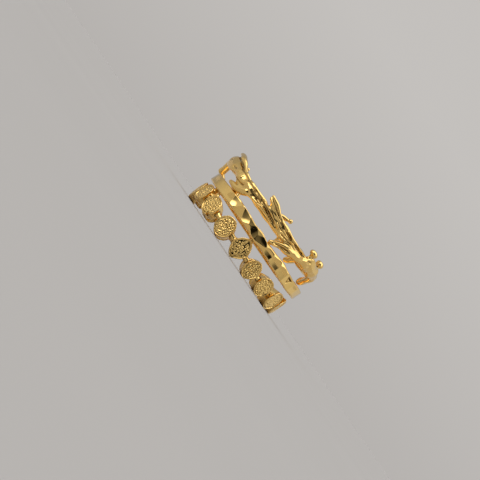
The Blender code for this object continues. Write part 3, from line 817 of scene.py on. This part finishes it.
# %% Balls and feet
BALLS = [(43.5, 0.86, 1.35, 0.95), (113, 0.915, 1.35, 1.0), (173.5, 0.965, 0.8, 0.78)]
FEET = [(-43, 0.13, 1.1), (10.5, 0.08, 0.6), (-102, 0.1, 1.0), (-139, 0.4, 0.7), (-193, 0.44, 0.5)]
VOXEL = 0.075
BALL_ROWS = 16
SMOOTH_ROUNDS = 3
WAX_ROUNDS = 5


def ball_net(turn, share, width, height):
    """A ball at the end of a twig."""
    polar = np.radians(180 * (np.arange(BALL_ROWS) + 0.5) / BALL_ROWS)
    around = np.radians(even_turns(TWIG_SIDES))
    ring = np.cos(around)[:, None] * along(turn) + np.sin(around)[:, None] * outward(turn)
    middle, half = coral_spot(turn, share), CORAL_STEM / 2
    rings = [middle + half * (ring * width * math.sin(p) - UP * height * math.cos(p)) for p in polar]
    return capped_net(np.array(rings))


def foot_net(turn, share, width):
    """A foot that leans in from a twig to the hammered band."""
    half = CORAL_STEM * width / 2
    wall = min(half, BAND_WALL / 3)
    angle = np.radians(even_turns(TWIG_SIDES))
    seat = outward(turn) * (BORE_RADIUS + BAND_WALL / 2) + UP * (BAND_FOOT + BAND_HEIGHT)
    sunk = seat - UP * BAND_HEIGHT / 3
    ring = np.cos(angle)[:, None] * half * along(turn) + np.sin(angle)[:, None] * wall * outward(turn)
    rings = [coral_spot(turn, share) + ring, (coral_spot(turn, share) + seat) / 2 + ring * 0.88,
             seat + ring * 0.95, sunk + ring * 1.1]
    return capped_net(np.array(rings))


print("balls:", len(BALLS), "feet:", len(FEET))

# %% [markdown]
# On the real band the twigs melt into each other where they meet, because they were modelled in soft wax.
# A voxel remesh does the same: it takes twigs, balls, feet and five low folds together and wraps them in
# one closed skin of even little squares. A few rounds of smoothing fill the creases at the joints.

# %% Wrap the coral in one skin
FOLDS = {
    "rail_web": (-0.22, [(-29, 0.475, 0.55), (-22, 0.455, 0.6), (-15, 0.44, 0.6), (-7, 0.42, 0.5)]),
    "left_fold": (0.2, [(-16, 0.515, 0.35), (-11, 0.505, 0.5), (-6, 0.485, 0.5), (-2, 0.455, 0.3)]),
    "middle_fold": (0.2, [(-3, 0.5, 0.3), (1, 0.475, 0.5), (5, 0.43, 0.5), (8, 0.395, 0.3)]),
    "top_fold": (0.2, [(-1, 0.6, 0.3), (3, 0.605, 0.42), (7, 0.6, 0.42), (11, 0.59, 0.3)]),
    "right_fold": (0.18, [(11, 0.5, 0.3), (15, 0.51, 0.42), (20, 0.525, 0.4), (25, 0.54, 0.3)]),
}

nets = [twig_net(rows, seed) for seed, rows in enumerate(TWIGS.values())]
nets += [twig_net(rows, 200 + seed, out) for seed, (out, rows) in enumerate(FOLDS.values())]
nets += [ball_net(*row) for row in BALLS] + [foot_net(*row) for row in FEET]
coral_band = make_object("coral_band", *join_nets(nets))
face_out(coral_band)
wrap = coral_band.modifiers.new("wax", "REMESH")
wrap.mode = "VOXEL"
wrap.voxel_size = VOXEL
drop_modifiers(coral_band)
points, edges = read_points(coral_band.data), read_edges(coral_band.data)
for _ in range(SMOOTH_ROUNDS):
    points = relax(points, edges, 0.5)
points = rub(points, edges, WAX_ROUNDS)
write_points(coral_band.data, points)
lowest, highest = points[:, 2].min().round(2), points[:, 2].max().round(2)
print("coral band:", len(points), "points, from", lowest, "to", highest, "mm")

# %% [markdown]
# Tool marks come last, as on the bench: the slot in the big bud, the lines that part two twigs that lie
# together, and a few small dents. Each mark is a line on the unrolled band, with a width and a depth. A
# negative depth is a low swelling. The last number says how dark the material paints the mark's groove:
# painted shade, as if the groove lay in shadow, together with a dark film.

# %% The tool marks
# The last column is the strength of the painted shade, with a dark film, in the mark's groove.
MARK_NAMES = ("path", "width", "depth", "shade_and_film")
MARK_ROWS = [
    ([(-86, 0.77), (-70, 0.7), (-58, 0.61), (-50, 0.56)], 0.12, 0.2, 1.0),
    ([(-52, 0.565), (-43, 0.535), (-33, 0.515), (-22, 0.49), (-12, 0.46)], 0.11, 0.2, 1.0),
    ([(-18, 0.775), (-11, 0.715), (-5, 0.645), (2, 0.6), (9, 0.57)], 0.12, 0.22, 1.0),
    ([(-31, 0.43), (-25, 0.41), (-18, 0.405)], 0.26, 0.2, 1.3),
    ([(-14, 0.45), (-9, 0.435), (-4, 0.41), (0, 0.385)], 0.14, 0.2, 1.3),
    ([(1, 0.5), (7, 0.485), (13, 0.47), (19, 0.485)], 0.1, 0.16, 0.9),
    ([(11, 0.56), (20, 0.555), (29, 0.565), (38, 0.57)], 0.13, 0.36, 1.4),
    ([(9, 0.39), (15, 0.42), (22, 0.46), (29, 0.5)], 0.08, 0.1, 0.5),
    ([(12, 0.11), (16, 0.17), (20, 0.235), (26, 0.31)], 0.17, 0.3, 0.5),
    ([(-57, 0.44), (-61, 0.42), (-64, 0.43)], 0.17, 0.15, 0.6),
    ([(-74, 0.51), (-79, 0.5)], 0.18, 0.14, 0.6),
    ([(-50, 0.25), (-44, 0.27), (-38, 0.32)], 0.13, 0.16, 0.8),
    ([(-49, 0.36), (-45, 0.38)], 0.45, -0.14, 0.0),
    ([(-40, 0.44), (-37, 0.43)], 0.4, -0.12, 0.0),
    ([(-33, 0.38), (-29, 0.37)], 0.35, -0.08, 0.0),
    ([(44, 0.62), (48, 0.66)], 0.16, 0.14, 0.9),
    ([(48, 0.6), (54, 0.5), (60, 0.47)], 0.5, 0.08, 0.0),
]
MARKS = [dict(zip(MARK_NAMES, row)) for row in MARK_ROWS]
RUB_ROUNDS = 3
FILED_OFF = 0.02
BROAD_WAVES = (0.035, 2.0)
FINE_WAVES = (0.004, 0.7)
print("marks:", len(MARKS))

# %% [markdown]
# A mark is carved where a point lies near its line. The helper gives that distance, and how far along the
# line the nearest spot is, so that a mark can fade towards its ends.

# %% The distance to a mark
def line_distance(x, y, path):
    """How far each point lies from a line of straight runs, and how far along the line, from 0 to 1."""
    nearest, gone = np.full(x.shape, np.inf), np.zeros(x.shape)
    for number, ((x0, y0), (x1, y1)) in enumerate(zip(path, path[1:])):
        run_x, run_y = x1 - x0, y1 - y0
        t = np.clip(((x - x0) * run_x + (y - y0) * run_y) / (run_x**2 + run_y**2), 0, 1)
        away = np.hypot(x - x0 - t * run_x, y - y0 - t * run_y)
        gone = np.where(away < nearest, (number + t) / (len(path) - 1), gone)
        nearest = np.minimum(nearest, away)
    return nearest, gone


print("marks that are raised:", sum(mark["depth"] < 0 for mark in MARKS))

# %% [markdown]
# A hand-made casting has an uneven skin, made here of slow waves in random directions. The marks are sunk
# into it, or raised where their depth is negative, and are rubbed a little so that no edge stays raw. The
# painted shade and film of each mark's groove is kept for the material. Then the bore is reamed round again.

# %% Carve the marks and ream the bore
def cast_waves(points, seed, size, length, count=14):
    """The uneven skin of a hand-made casting: many slow waves in random directions, in mm."""
    random = np.random.default_rng(seed)
    facing = random.normal(size=(count, 3))
    facing /= np.linalg.norm(facing, axis=1)[:, None]
    waves = 2 * math.pi / (length * random.uniform(0.6, 1.5, count))
    return size * np.sin(points @ facing.T * waves + random.uniform(0, 6.28, count)).sum(axis=1) / count**0.5


points, normals = read_points(coral_band.data), read_normals(coral_band.data)
skin = cast_waves(points, 3, *BROAD_WAVES) + cast_waves(points, 4, *FINE_WAVES)
points -= normals * (FILED_OFF + skin)[:, None]
arc = np.radians(turn_of(points)) * coral_radius(turn_of(points)) + cast_waves(points, 5, 0.05, 1.2)
level = points[:, 2] + cast_waves(points, 6, 0.04, 1.4)
faces_out = np.clip((normals * outward(turn_of(points))).sum(axis=1) * 2, 0, 1)
# How dark each groove is painted: painted shade with a dark film, kept for the material.
groove_shade_and_film = np.zeros(len(points))
for mark in MARKS:
    path = [(math.radians(turn) * float(coral_radius(turn)), float(coral_level(share)))
            for turn, share in mark["path"]]
    away, gone = line_distance(arc, level, path)
    taper = np.clip(5 * np.minimum(gone, 1 - gone) + 0.35, 0, 1)
    sunk = np.exp(-(away / (mark["width"] * (0.5 + taper / 2)))**2) * taper * faces_out
    points -= normals * (mark["depth"] * sunk)[:, None]
    groove_shade_and_film = np.maximum(groove_shade_and_film, mark["shade_and_film"] * sunk)
points = rub(points, edges, RUB_ROUNDS)
for _ in range(RUB_ROUNDS):
    groove_shade_and_film = neighbour_mean(groove_shade_and_film[:, None] + np.zeros(3), edges)[:, 0]
touched = ream(points)
write_points(coral_band.data, points)
print("points that the reamer touched:", touched)

# %% [markdown]
# Solder holds the tallest discs to the hammered band. It flows into a little waisted pillar, wide at both
# ends, because liquid metal creeps along what it wets.

# %% The solder joints
SOLDER_TURNS = [1, 179, 240, 299]
SOLDER_WIDTH = 0.7
SOLDER_WALL = 0.75
SOLDER_OUT = 0.55
SOLDER_SIDES = 24
SOLDER_STEPS = 12


def solder_net(turn):
    """One drawn fillet of solder, from inside a disc to inside the band."""
    low = neck_level(turn % 360)[0] + 0.4
    high = BAND_FOOT + BAND_HEIGHT * 0.3
    waist = BAND_FOOT - 0.05
    angle = np.radians(even_turns(SOLDER_SIDES))
    ring = (np.cos(angle)[:, None] * along(turn) * SOLDER_WIDTH / 2
            + np.sin(angle)[:, None] * outward(turn) * SOLDER_WALL / 2)
    rings = []
    for level in np.linspace(low, high, SOLDER_STEPS):
        swell = 1 + 0.5 * min(1, abs(level - waist) / 0.35) ** 2
        rings.append(outward(turn) * (BORE_RADIUS + SOLDER_OUT) + UP * level + ring * swell)
    return capped_net(np.array(rings))


solder_joints = make_object("solder_joints", *join_nets([solder_net(turn) for turn in SOLDER_TURNS]))
face_out(solder_joints)
print("solder joints:", len(SOLDER_TURNS))

# %% [markdown]
# The material darkens the hollows of the metal: painted shade for the light that creases and pits lose,
# together with old polish that stays there, while the ridges stay clean. The material needs to know which
# is which, so each mesh carries a number called hollow on every point: 0.5 on flat metal, towards 1 in a
# hollow and towards 0 on a ridge. It is the height of the smoothed surface over the real one. The punch
# mark and the grooves of the coral keep at least their own painted shade and film.

# %% Mark the hollows and finish the pieces
HOLLOW_ROUNDS = {"disc_row": (6, 0.04), "hammered_band": (10, 0.02), "coral_band": (14, 0.05),
                 "solder_joints": (3, 0.03)}
PIECES = [disc_row, hammered_band, coral_band, solder_joints]
# The punch mark and the coral grooves pass on their painted shade and film to the hollow number.
TOOL_SHADE_AND_FILM = {"hammered_band": (stamped / PUNCH_MARK["depth"]).ravel(), "coral_band": groove_shade_and_film}


def mark_hollows(piece, rounds, full, shade_and_film):
    """Store how hollow the surface is at each point, and at least as much as the painted shade and film of
    its tool marks.
    """
    points, edges = read_points(piece.data), read_edges(piece.data)
    smooth = points
    for _ in range(rounds):
        smooth = relax(smooth, edges, 0.7)
    over = ((smooth - points) * read_normals(piece.data)).sum(axis=1)
    hollow = piece.data.attributes.new("hollow", "FLOAT", "POINT")
    value = np.maximum(0.5 + over / full / 2, 0.5 + shade_and_film / 2)
    hollow.data.foreach_set("value", np.clip(value, 0, 1).astype(np.float32))
    return over


for piece in PIECES:
    over = mark_hollows(piece, *HOLLOW_ROUNDS[piece.name], TOOL_SHADE_AND_FILM.get(piece.name, 0.0))
    piece.data.transform(Matrix.Scale(MM, 4))
    piece.data.shade_smooth()
    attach(piece, "root")
    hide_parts(SOLID)
    print(piece.name, "hollows to", np.percentile(over, 98).round(3), "mm, triangles:",
          sum(len(face.vertices) - 2 for face in piece.data.polygons))

# %% [markdown]
# Three effects are shared by all the gold, so each is a node group with named sockets. A few helpers keep
# the node trees short to write: one makes an empty group, one adds a node and links or sets its inputs,
# and one adds a Math node.

# %% Helpers for node trees
def new_group(name, inputs, outputs):
    """An empty shader group with the sockets it is asked for."""
    group = bpy.data.node_groups.new(name, "ShaderNodeTree")
    for title, kind, value in inputs:
        socket = group.interface.new_socket(title, in_out="INPUT", socket_type=kind)
        socket.default_value = value
    for title, kind in outputs:
        group.interface.new_socket(title, in_out="OUTPUT", socket_type=kind)
    return group, group.nodes.new("NodeGroupInput"), group.nodes.new("NodeGroupOutput")


def add(tree, kind, inputs=None, **settings):
    """A node with its settings, and its inputs set or linked by name or number."""
    node = tree.nodes.new(kind)
    for name, value in settings.items():
        setattr(node, name, value)
    for name, value in (inputs or {}).items():
        if isinstance(value, bpy.types.NodeSocket):
            tree.links.new(value, node.inputs[name])
        else:
            node.inputs[name].default_value = value
    return node


def maths(tree, operation, first, second=0.0, clamp=False):
    """The result of one Math node."""
    return add(tree, "ShaderNodeMath", {0: first, 1: second}, operation=operation, use_clamp=clamp).outputs[0]


print("helpers for node trees are ready")

# %% [markdown]
# The first group gives a place on the metal: how far round the ring, how high and how far out, in
# millimetres. Polishing lines run round a band, so they are drawn in those coordinates and not in plain
# X, Y and Z.

# %% Group: place on the ring
place_group, _, place_out = new_group("place_on_ring", [], [("Place", "NodeSocketVector")])
where = add(place_group, "ShaderNodeTexCoord").outputs["Object"]
parts = add(place_group, "ShaderNodeSeparateXYZ", {"Vector": where})
angle = maths(place_group, "ARCTAN2", parts.outputs["X"], parts.outputs["Y"])
flat = add(place_group, "ShaderNodeCombineXYZ", {"X": parts.outputs["X"], "Y": parts.outputs["Y"]})
length = add(place_group, "ShaderNodeVectorMath", {0: flat.outputs[0]}, operation="LENGTH").outputs["Value"]
place = add(place_group, "ShaderNodeCombineXYZ", {
    "X": maths(place_group, "MULTIPLY", angle, BORE_RADIUS),
    "Y": maths(place_group, "DIVIDE", parts.outputs["Z"], MM),
    "Z": maths(place_group, "DIVIDE", length, MM)})
place_group.links.new(place.outputs[0], place_out.inputs["Place"])
print("group:", place_group.name)

# %% [markdown]
# Polished metal is never perfectly even. Cloth and wear leave hair-fine lines in it, and its gloss drifts
# from spot to spot. This group gives the height of the lines, to feed a Bump node, and a roughness.

# %% Group: polishing marks
marks_group, marks_in, marks_out = new_group(
    "polishing_marks",
    [("Lines per mm", "NodeSocketFloat", 14.0), ("Gloss drift", "NodeSocketFloat", 0.05),
     ("Roughness", "NodeSocketFloat", 0.1)],
    [("Height", "NodeSocketFloat"), ("Roughness", "NodeSocketFloat")])
spot = add(marks_group, "ShaderNodeGroup", node_tree=place_group).outputs["Place"]
stretch = add(marks_group, "ShaderNodeVectorMath", {0: spot, 1: (0.06, 1.0, 1.0)}, operation="MULTIPLY")
lines = add(marks_group, "ShaderNodeTexNoise", {
    "Vector": stretch.outputs[0], "Scale": marks_in.outputs["Lines per mm"], "Detail": 3.0, "Roughness": 0.6})
patches = add(marks_group, "ShaderNodeTexNoise", {"Vector": spot, "Scale": 0.9, "Detail": 2.0})
drift = maths(marks_group, "MULTIPLY", maths(marks_group, "SUBTRACT", patches.outputs["Fac"], 0.5),
              marks_in.outputs["Gloss drift"])
marks_group.links.new(lines.outputs["Fac"], marks_out.inputs["Height"])
marks_group.links.new(maths(marks_group, "ADD", drift, marks_in.outputs["Roughness"]),
                      marks_out.inputs["Roughness"])
print("group:", marks_group.name)

# %% [markdown]
# The second colour of gold is in its hollows: painted shade for the light lost there as it bounces from
# gold to gold, together with a film of old polish. This group mixes the two colours by the hollow number
# of the mesh, so that the rubbed ridges stay clean, and says how much rougher the hollows are.

# %% Group: painted shade and film in the hollows
hollow_shade_group, hollow_shade_in, hollow_shade_out = new_group(
    "painted_shade_and_film_in_hollows",
    [("Metal", "NodeSocketColor", (1, 1, 1, 1)), ("Shade and film", "NodeSocketColor", (0, 0, 0, 1)),
     ("Shade and film strength", "NodeSocketFloat", 0.5), ("Roughness", "NodeSocketFloat", 0.1),
     ("Hollow roughness", "NodeSocketFloat", 0.3)],
    [("Colour", "NodeSocketColor"), ("Roughness", "NodeSocketFloat")])
# Painted shade: the deeper the hollow, the more the dark colour covers the metal, together with a film of old
# polish.
hollow = add(hollow_shade_group, "ShaderNodeAttribute", attribute_name="hollow").outputs["Fac"]
deep = add(hollow_shade_group, "ShaderNodeMapRange", {"Value": hollow, "From Min": 0.55, "From Max": 1.0},
           interpolation_type="SMOOTHSTEP").outputs["Result"]
uneven_shade_and_film = add(hollow_shade_group, "ShaderNodeTexNoise", {
    "Vector": add(hollow_shade_group, "ShaderNodeGroup", node_tree=place_group).outputs["Place"], "Scale": 2.2,
    "Detail": 4.0})
shade_and_film_amount = maths(hollow_shade_group, "MULTIPLY", maths(hollow_shade_group, "MULTIPLY", deep, hollow_shade_in.outputs["Shade and film strength"]),
                maths(hollow_shade_group, "ADD", uneven_shade_and_film.outputs["Fac"], 0.4), clamp=True)
tinted = add(hollow_shade_group, "ShaderNodeMix", data_type="RGBA")
hollow_shade_group.links.new(shade_and_film_amount, tinted.inputs["Factor"])
hollow_shade_group.links.new(hollow_shade_in.outputs["Metal"], tinted.inputs["A"])
hollow_shade_group.links.new(hollow_shade_in.outputs["Shade and film"], tinted.inputs["B"])
extra = maths(hollow_shade_group, "SUBTRACT", hollow_shade_in.outputs["Hollow roughness"], hollow_shade_in.outputs["Roughness"])
rougher = maths(hollow_shade_group, "MULTIPLY", shade_and_film_amount, extra)
hollow_shade_group.links.new(tinted.outputs[2], hollow_shade_out.inputs["Colour"])
hollow_shade_group.links.new(maths(hollow_shade_group, "ADD", hollow_shade_in.outputs["Roughness"], rougher),
                     hollow_shade_out.inputs["Roughness"])
print("group:", hollow_shade_group.name)

# %% [markdown]
# Yellow gold is a metal, so nearly all of its colour comes from what it mirrors, tinted by the metal.
# One function lays out the nodes of a gold material, and a table gives each piece its own values: the
# discs are cast and keep more painted shade and film in their pits, the hammered band is polished
# brightest, and the coral lies between them. The fine lines go to a Bump node, because they are far thinner
# than any mesh.

# %% The gold of each piece
GOLD = (0.95, 0.64, 0.215, 1)
# The dark colour of the hollows is painted shade for creases, pits and slits, together with a film of old
# polish.
SHADE_AND_FILM_COLOUR = (0.07, 0.031, 0.009, 1)
# The film column is how strongly the hollows get that painted shade and film.
FINISH_NAMES = ("roughness", "hollow_roughness", "shade_and_film", "lines", "line_depth")
FINISHES = {
    "disc_row": (0.12, 0.32, 1.0, 11.0, 0.5),
    "hammered_band": (0.08, 0.25, 1.0, 16.0, 0.4),
    "coral_band": (0.11, 0.28, 0.7, 10.0, 0.5),
    "solder_joints": (0.2, 0.35, 0.6, 9.0, 0.5),
}
MICRON = 0.001 * MM


def gold_material(name, finish):
    """Polished gold with painted shade and film in its hollows and fine polishing lines."""
    material = bpy.data.materials.new(name)
    material.use_nodes = True
    tree = material.node_tree
    metal = tree.nodes["Principled BSDF"]
    metal.inputs["Metallic"].default_value = 1.0
    marks = add(tree, "ShaderNodeGroup", {"Lines per mm": finish["lines"], "Roughness": finish["roughness"]},
                node_tree=marks_group)
    hollow_shade = add(tree, "ShaderNodeGroup", {
        "Metal": GOLD, "Shade and film": SHADE_AND_FILM_COLOUR, "Shade and film strength": finish["shade_and_film"], "Roughness": marks.outputs["Roughness"],
        "Hollow roughness": finish["hollow_roughness"]}, node_tree=hollow_shade_group)
    scratch = add(tree, "ShaderNodeBump", {
        "Height": marks.outputs["Height"], "Strength": 1.0, "Distance": finish["line_depth"] * MICRON})
    tree.links.new(hollow_shade.outputs["Colour"], metal.inputs["Base Color"])
    tree.links.new(hollow_shade.outputs["Roughness"], metal.inputs["Roughness"])
    tree.links.new(scratch.outputs["Normal"], metal.inputs["Normal"])
    return material


for piece in PIECES:
    finish = dict(zip(FINISH_NAMES, FINISHES[piece.name]))
    piece.data.materials.clear()
    piece.data.materials.append(gold_material(f"gold_of_{piece.name}", finish))
    print(piece.name, finish)

# %% [markdown]
# Jewellery is photographed on a plain pale sweep. The floor is a wide round sheet with the faintest
# mottling, so that it isn't a dead flat colour. It has no shine, because matt paper shows no highlight.

# %% The floor
FLOOR_RADIUS = 4000
FLOOR_SIDES = 96

angle = np.radians(even_turns(FLOOR_SIDES))
rim = np.stack([np.cos(angle), np.sin(angle), 0 * angle], axis=1) * FLOOR_RADIUS * MM
floor = make_object("floor", rim, [list(range(FLOOR_SIDES))])
paper = bpy.data.materials.new("pale_paper")
paper.use_nodes = True
mottle = add(paper.node_tree, "ShaderNodeTexNoise", {
    "Vector": add(paper.node_tree, "ShaderNodeTexCoord").outputs["Object"], "Scale": 60.0, "Detail": 3.0})
tone = add(paper.node_tree, "ShaderNodeMix", {
    0: mottle.outputs["Fac"], 6: (0.468, 0.448, 0.43, 1), 7: (0.496, 0.476, 0.457, 1)}, data_type="RGBA")
sheet = paper.node_tree.nodes["Principled BSDF"]
sheet.inputs["Roughness"].default_value = 0.9
sheet.inputs["Specular IOR Level"].default_value = 0.0
paper.node_tree.links.new(tone.outputs[2], sheet.inputs["Base Color"])
floor.data.materials.append(paper)
print("floor is", 2 * FLOOR_RADIUS, "mm across")

# %% [markdown]
# A polished ring shows its surroundings, so the studio is built in the world shader: a light grey room
# with a few soft, bright panels. The side where the camera stands is dark, as it is in most studios, with
# a broad dim part and a small part that is nearly black, and that gives polished metal its blacks. Each
# panel is a direction and a width, and a smooth falloff is its frame. Rays straight from the camera see a
# plain pale backdrop instead, a little lighter higher up, which Light Path picks out.

# %% The studio
ROOM_GREY = 0.47
BACKDROP_LOW = (0.47, 0.45, 0.432, 1)
BACKDROP_HIGH = (0.55, 0.53, 0.51, 1)
BACKDROP_RISE = 0.16
PANEL_ROWS = [
    ((-0.75, -0.5, 0.6), 13, 24, 2.6),
    ((0.8, -0.4, 0.65), 10, 20, 1.6),
    ((0.0, 0.05, 1.0), 24, 46, 1.1),
    ((-1.0, -0.1, 0.1), 18, 50, 0.12),
    ((0.8, 0.6, 0.1), 20, 55, 0.14),
    ((-0.3, 1.0, 0.1), 30, 70, -0.12),
]
DARK_ROWS = [
    ((0.04, -1.0, 0.16), 20, 66, 0.78),
    ((0.02, -1.0, 0.11), 11, 24, 0.93),
]


def panel(tree, direction, toward, inner, outer, strength):
    """The glow of one soft panel: full inside one angle from its middle, nothing outside the other."""
    facing = add(tree, "ShaderNodeVectorMath", {0: direction, 1: Vector(toward).normalized()},
                 operation="DOT_PRODUCT").outputs["Value"]
    return add(tree, "ShaderNodeMapRange", {
        "Value": facing, "From Min": math.cos(math.radians(outer)), "From Max": math.cos(math.radians(inner)),
        "To Max": strength}, interpolation_type="SMOOTHSTEP").outputs["Result"]


world = bpy.data.worlds.new("studio")
bpy.context.scene.world = world
world.use_nodes = True
air = world.node_tree
looking = add(air, "ShaderNodeVectorMath", {0: add(air, "ShaderNodeTexCoord").outputs["Generated"]},
              operation="NORMALIZE").outputs["Vector"]
total = ROOM_GREY
for row in PANEL_ROWS:
    total = maths(air, "ADD", panel(air, looking, *row), total)
for row in DARK_ROWS:
    total = maths(air, "MULTIPLY", total, maths(air, "SUBTRACT", 1.0, panel(air, looking, *row)))
seen = add(air, "ShaderNodeLightPath").outputs["Is Camera Ray"]
room = add(air, "ShaderNodeCombineColor", {"Red": total, "Green": total, "Blue": total}).outputs["Color"]
height = add(air, "ShaderNodeSeparateXYZ", {"Vector": looking}).outputs["Z"]
rising = add(air, "ShaderNodeMapRange", {"Value": height, "From Max": BACKDROP_RISE}).outputs["Result"]
sweep = add(air, "ShaderNodeMix", {0: rising, 6: BACKDROP_LOW, 7: BACKDROP_HIGH}, data_type="RGBA").outputs[2]
shown = add(air, "ShaderNodeMix", {0: seen, 6: room, 7: sweep}, data_type="RGBA")
air.links.new(shown.outputs[2], air.nodes["Background"].inputs["Color"])
bpy.context.scene.view_settings.view_transform = "Standard"
print("panels:", len(PANEL_ROWS))

# %% [markdown]
# The camera stands far off with a long lens, as for a product picture, so that the bands stay nearly
# straight. It is just above the floor and rolled, which puts the ring's axis on a slant.

# %% The camera
LENS = 110
SENSOR = 36
FRAME_WIDTH = 64
CAMERA_HEIGHT = 1.2
AIM = Vector((-0.77, -4.0, 2.5)) * MM
AXIS_SLANT = math.radians(34.1)

lens = bpy.data.cameras.new("camera")
lens.lens, lens.sensor_width = LENS, SENSOR
lens.clip_start, lens.clip_end = 0.0005, 20
camera = bpy.data.objects.new("camera", lens)
bpy.context.scene.collection.objects.link(camera)
camera.location = (AIM.x, AIM.y - FRAME_WIDTH * LENS / SENSOR * MM, CAMERA_HEIGHT * MM)
ahead = (AIM - camera.location).normalized()
right = Vector((math.cos(math.radians(90) - AXIS_SLANT), 0, math.cos(AXIS_SLANT)))
over = right.cross(ahead).normalized()
right = ahead.cross(over)
facing = Matrix((right, over, -ahead)).transposed().to_4x4()
camera.matrix_world = Matrix.Translation(camera.location) @ facing
bpy.context.scene.camera = camera
print("camera is", round(abs(camera.location.y) / MM), "mm away")
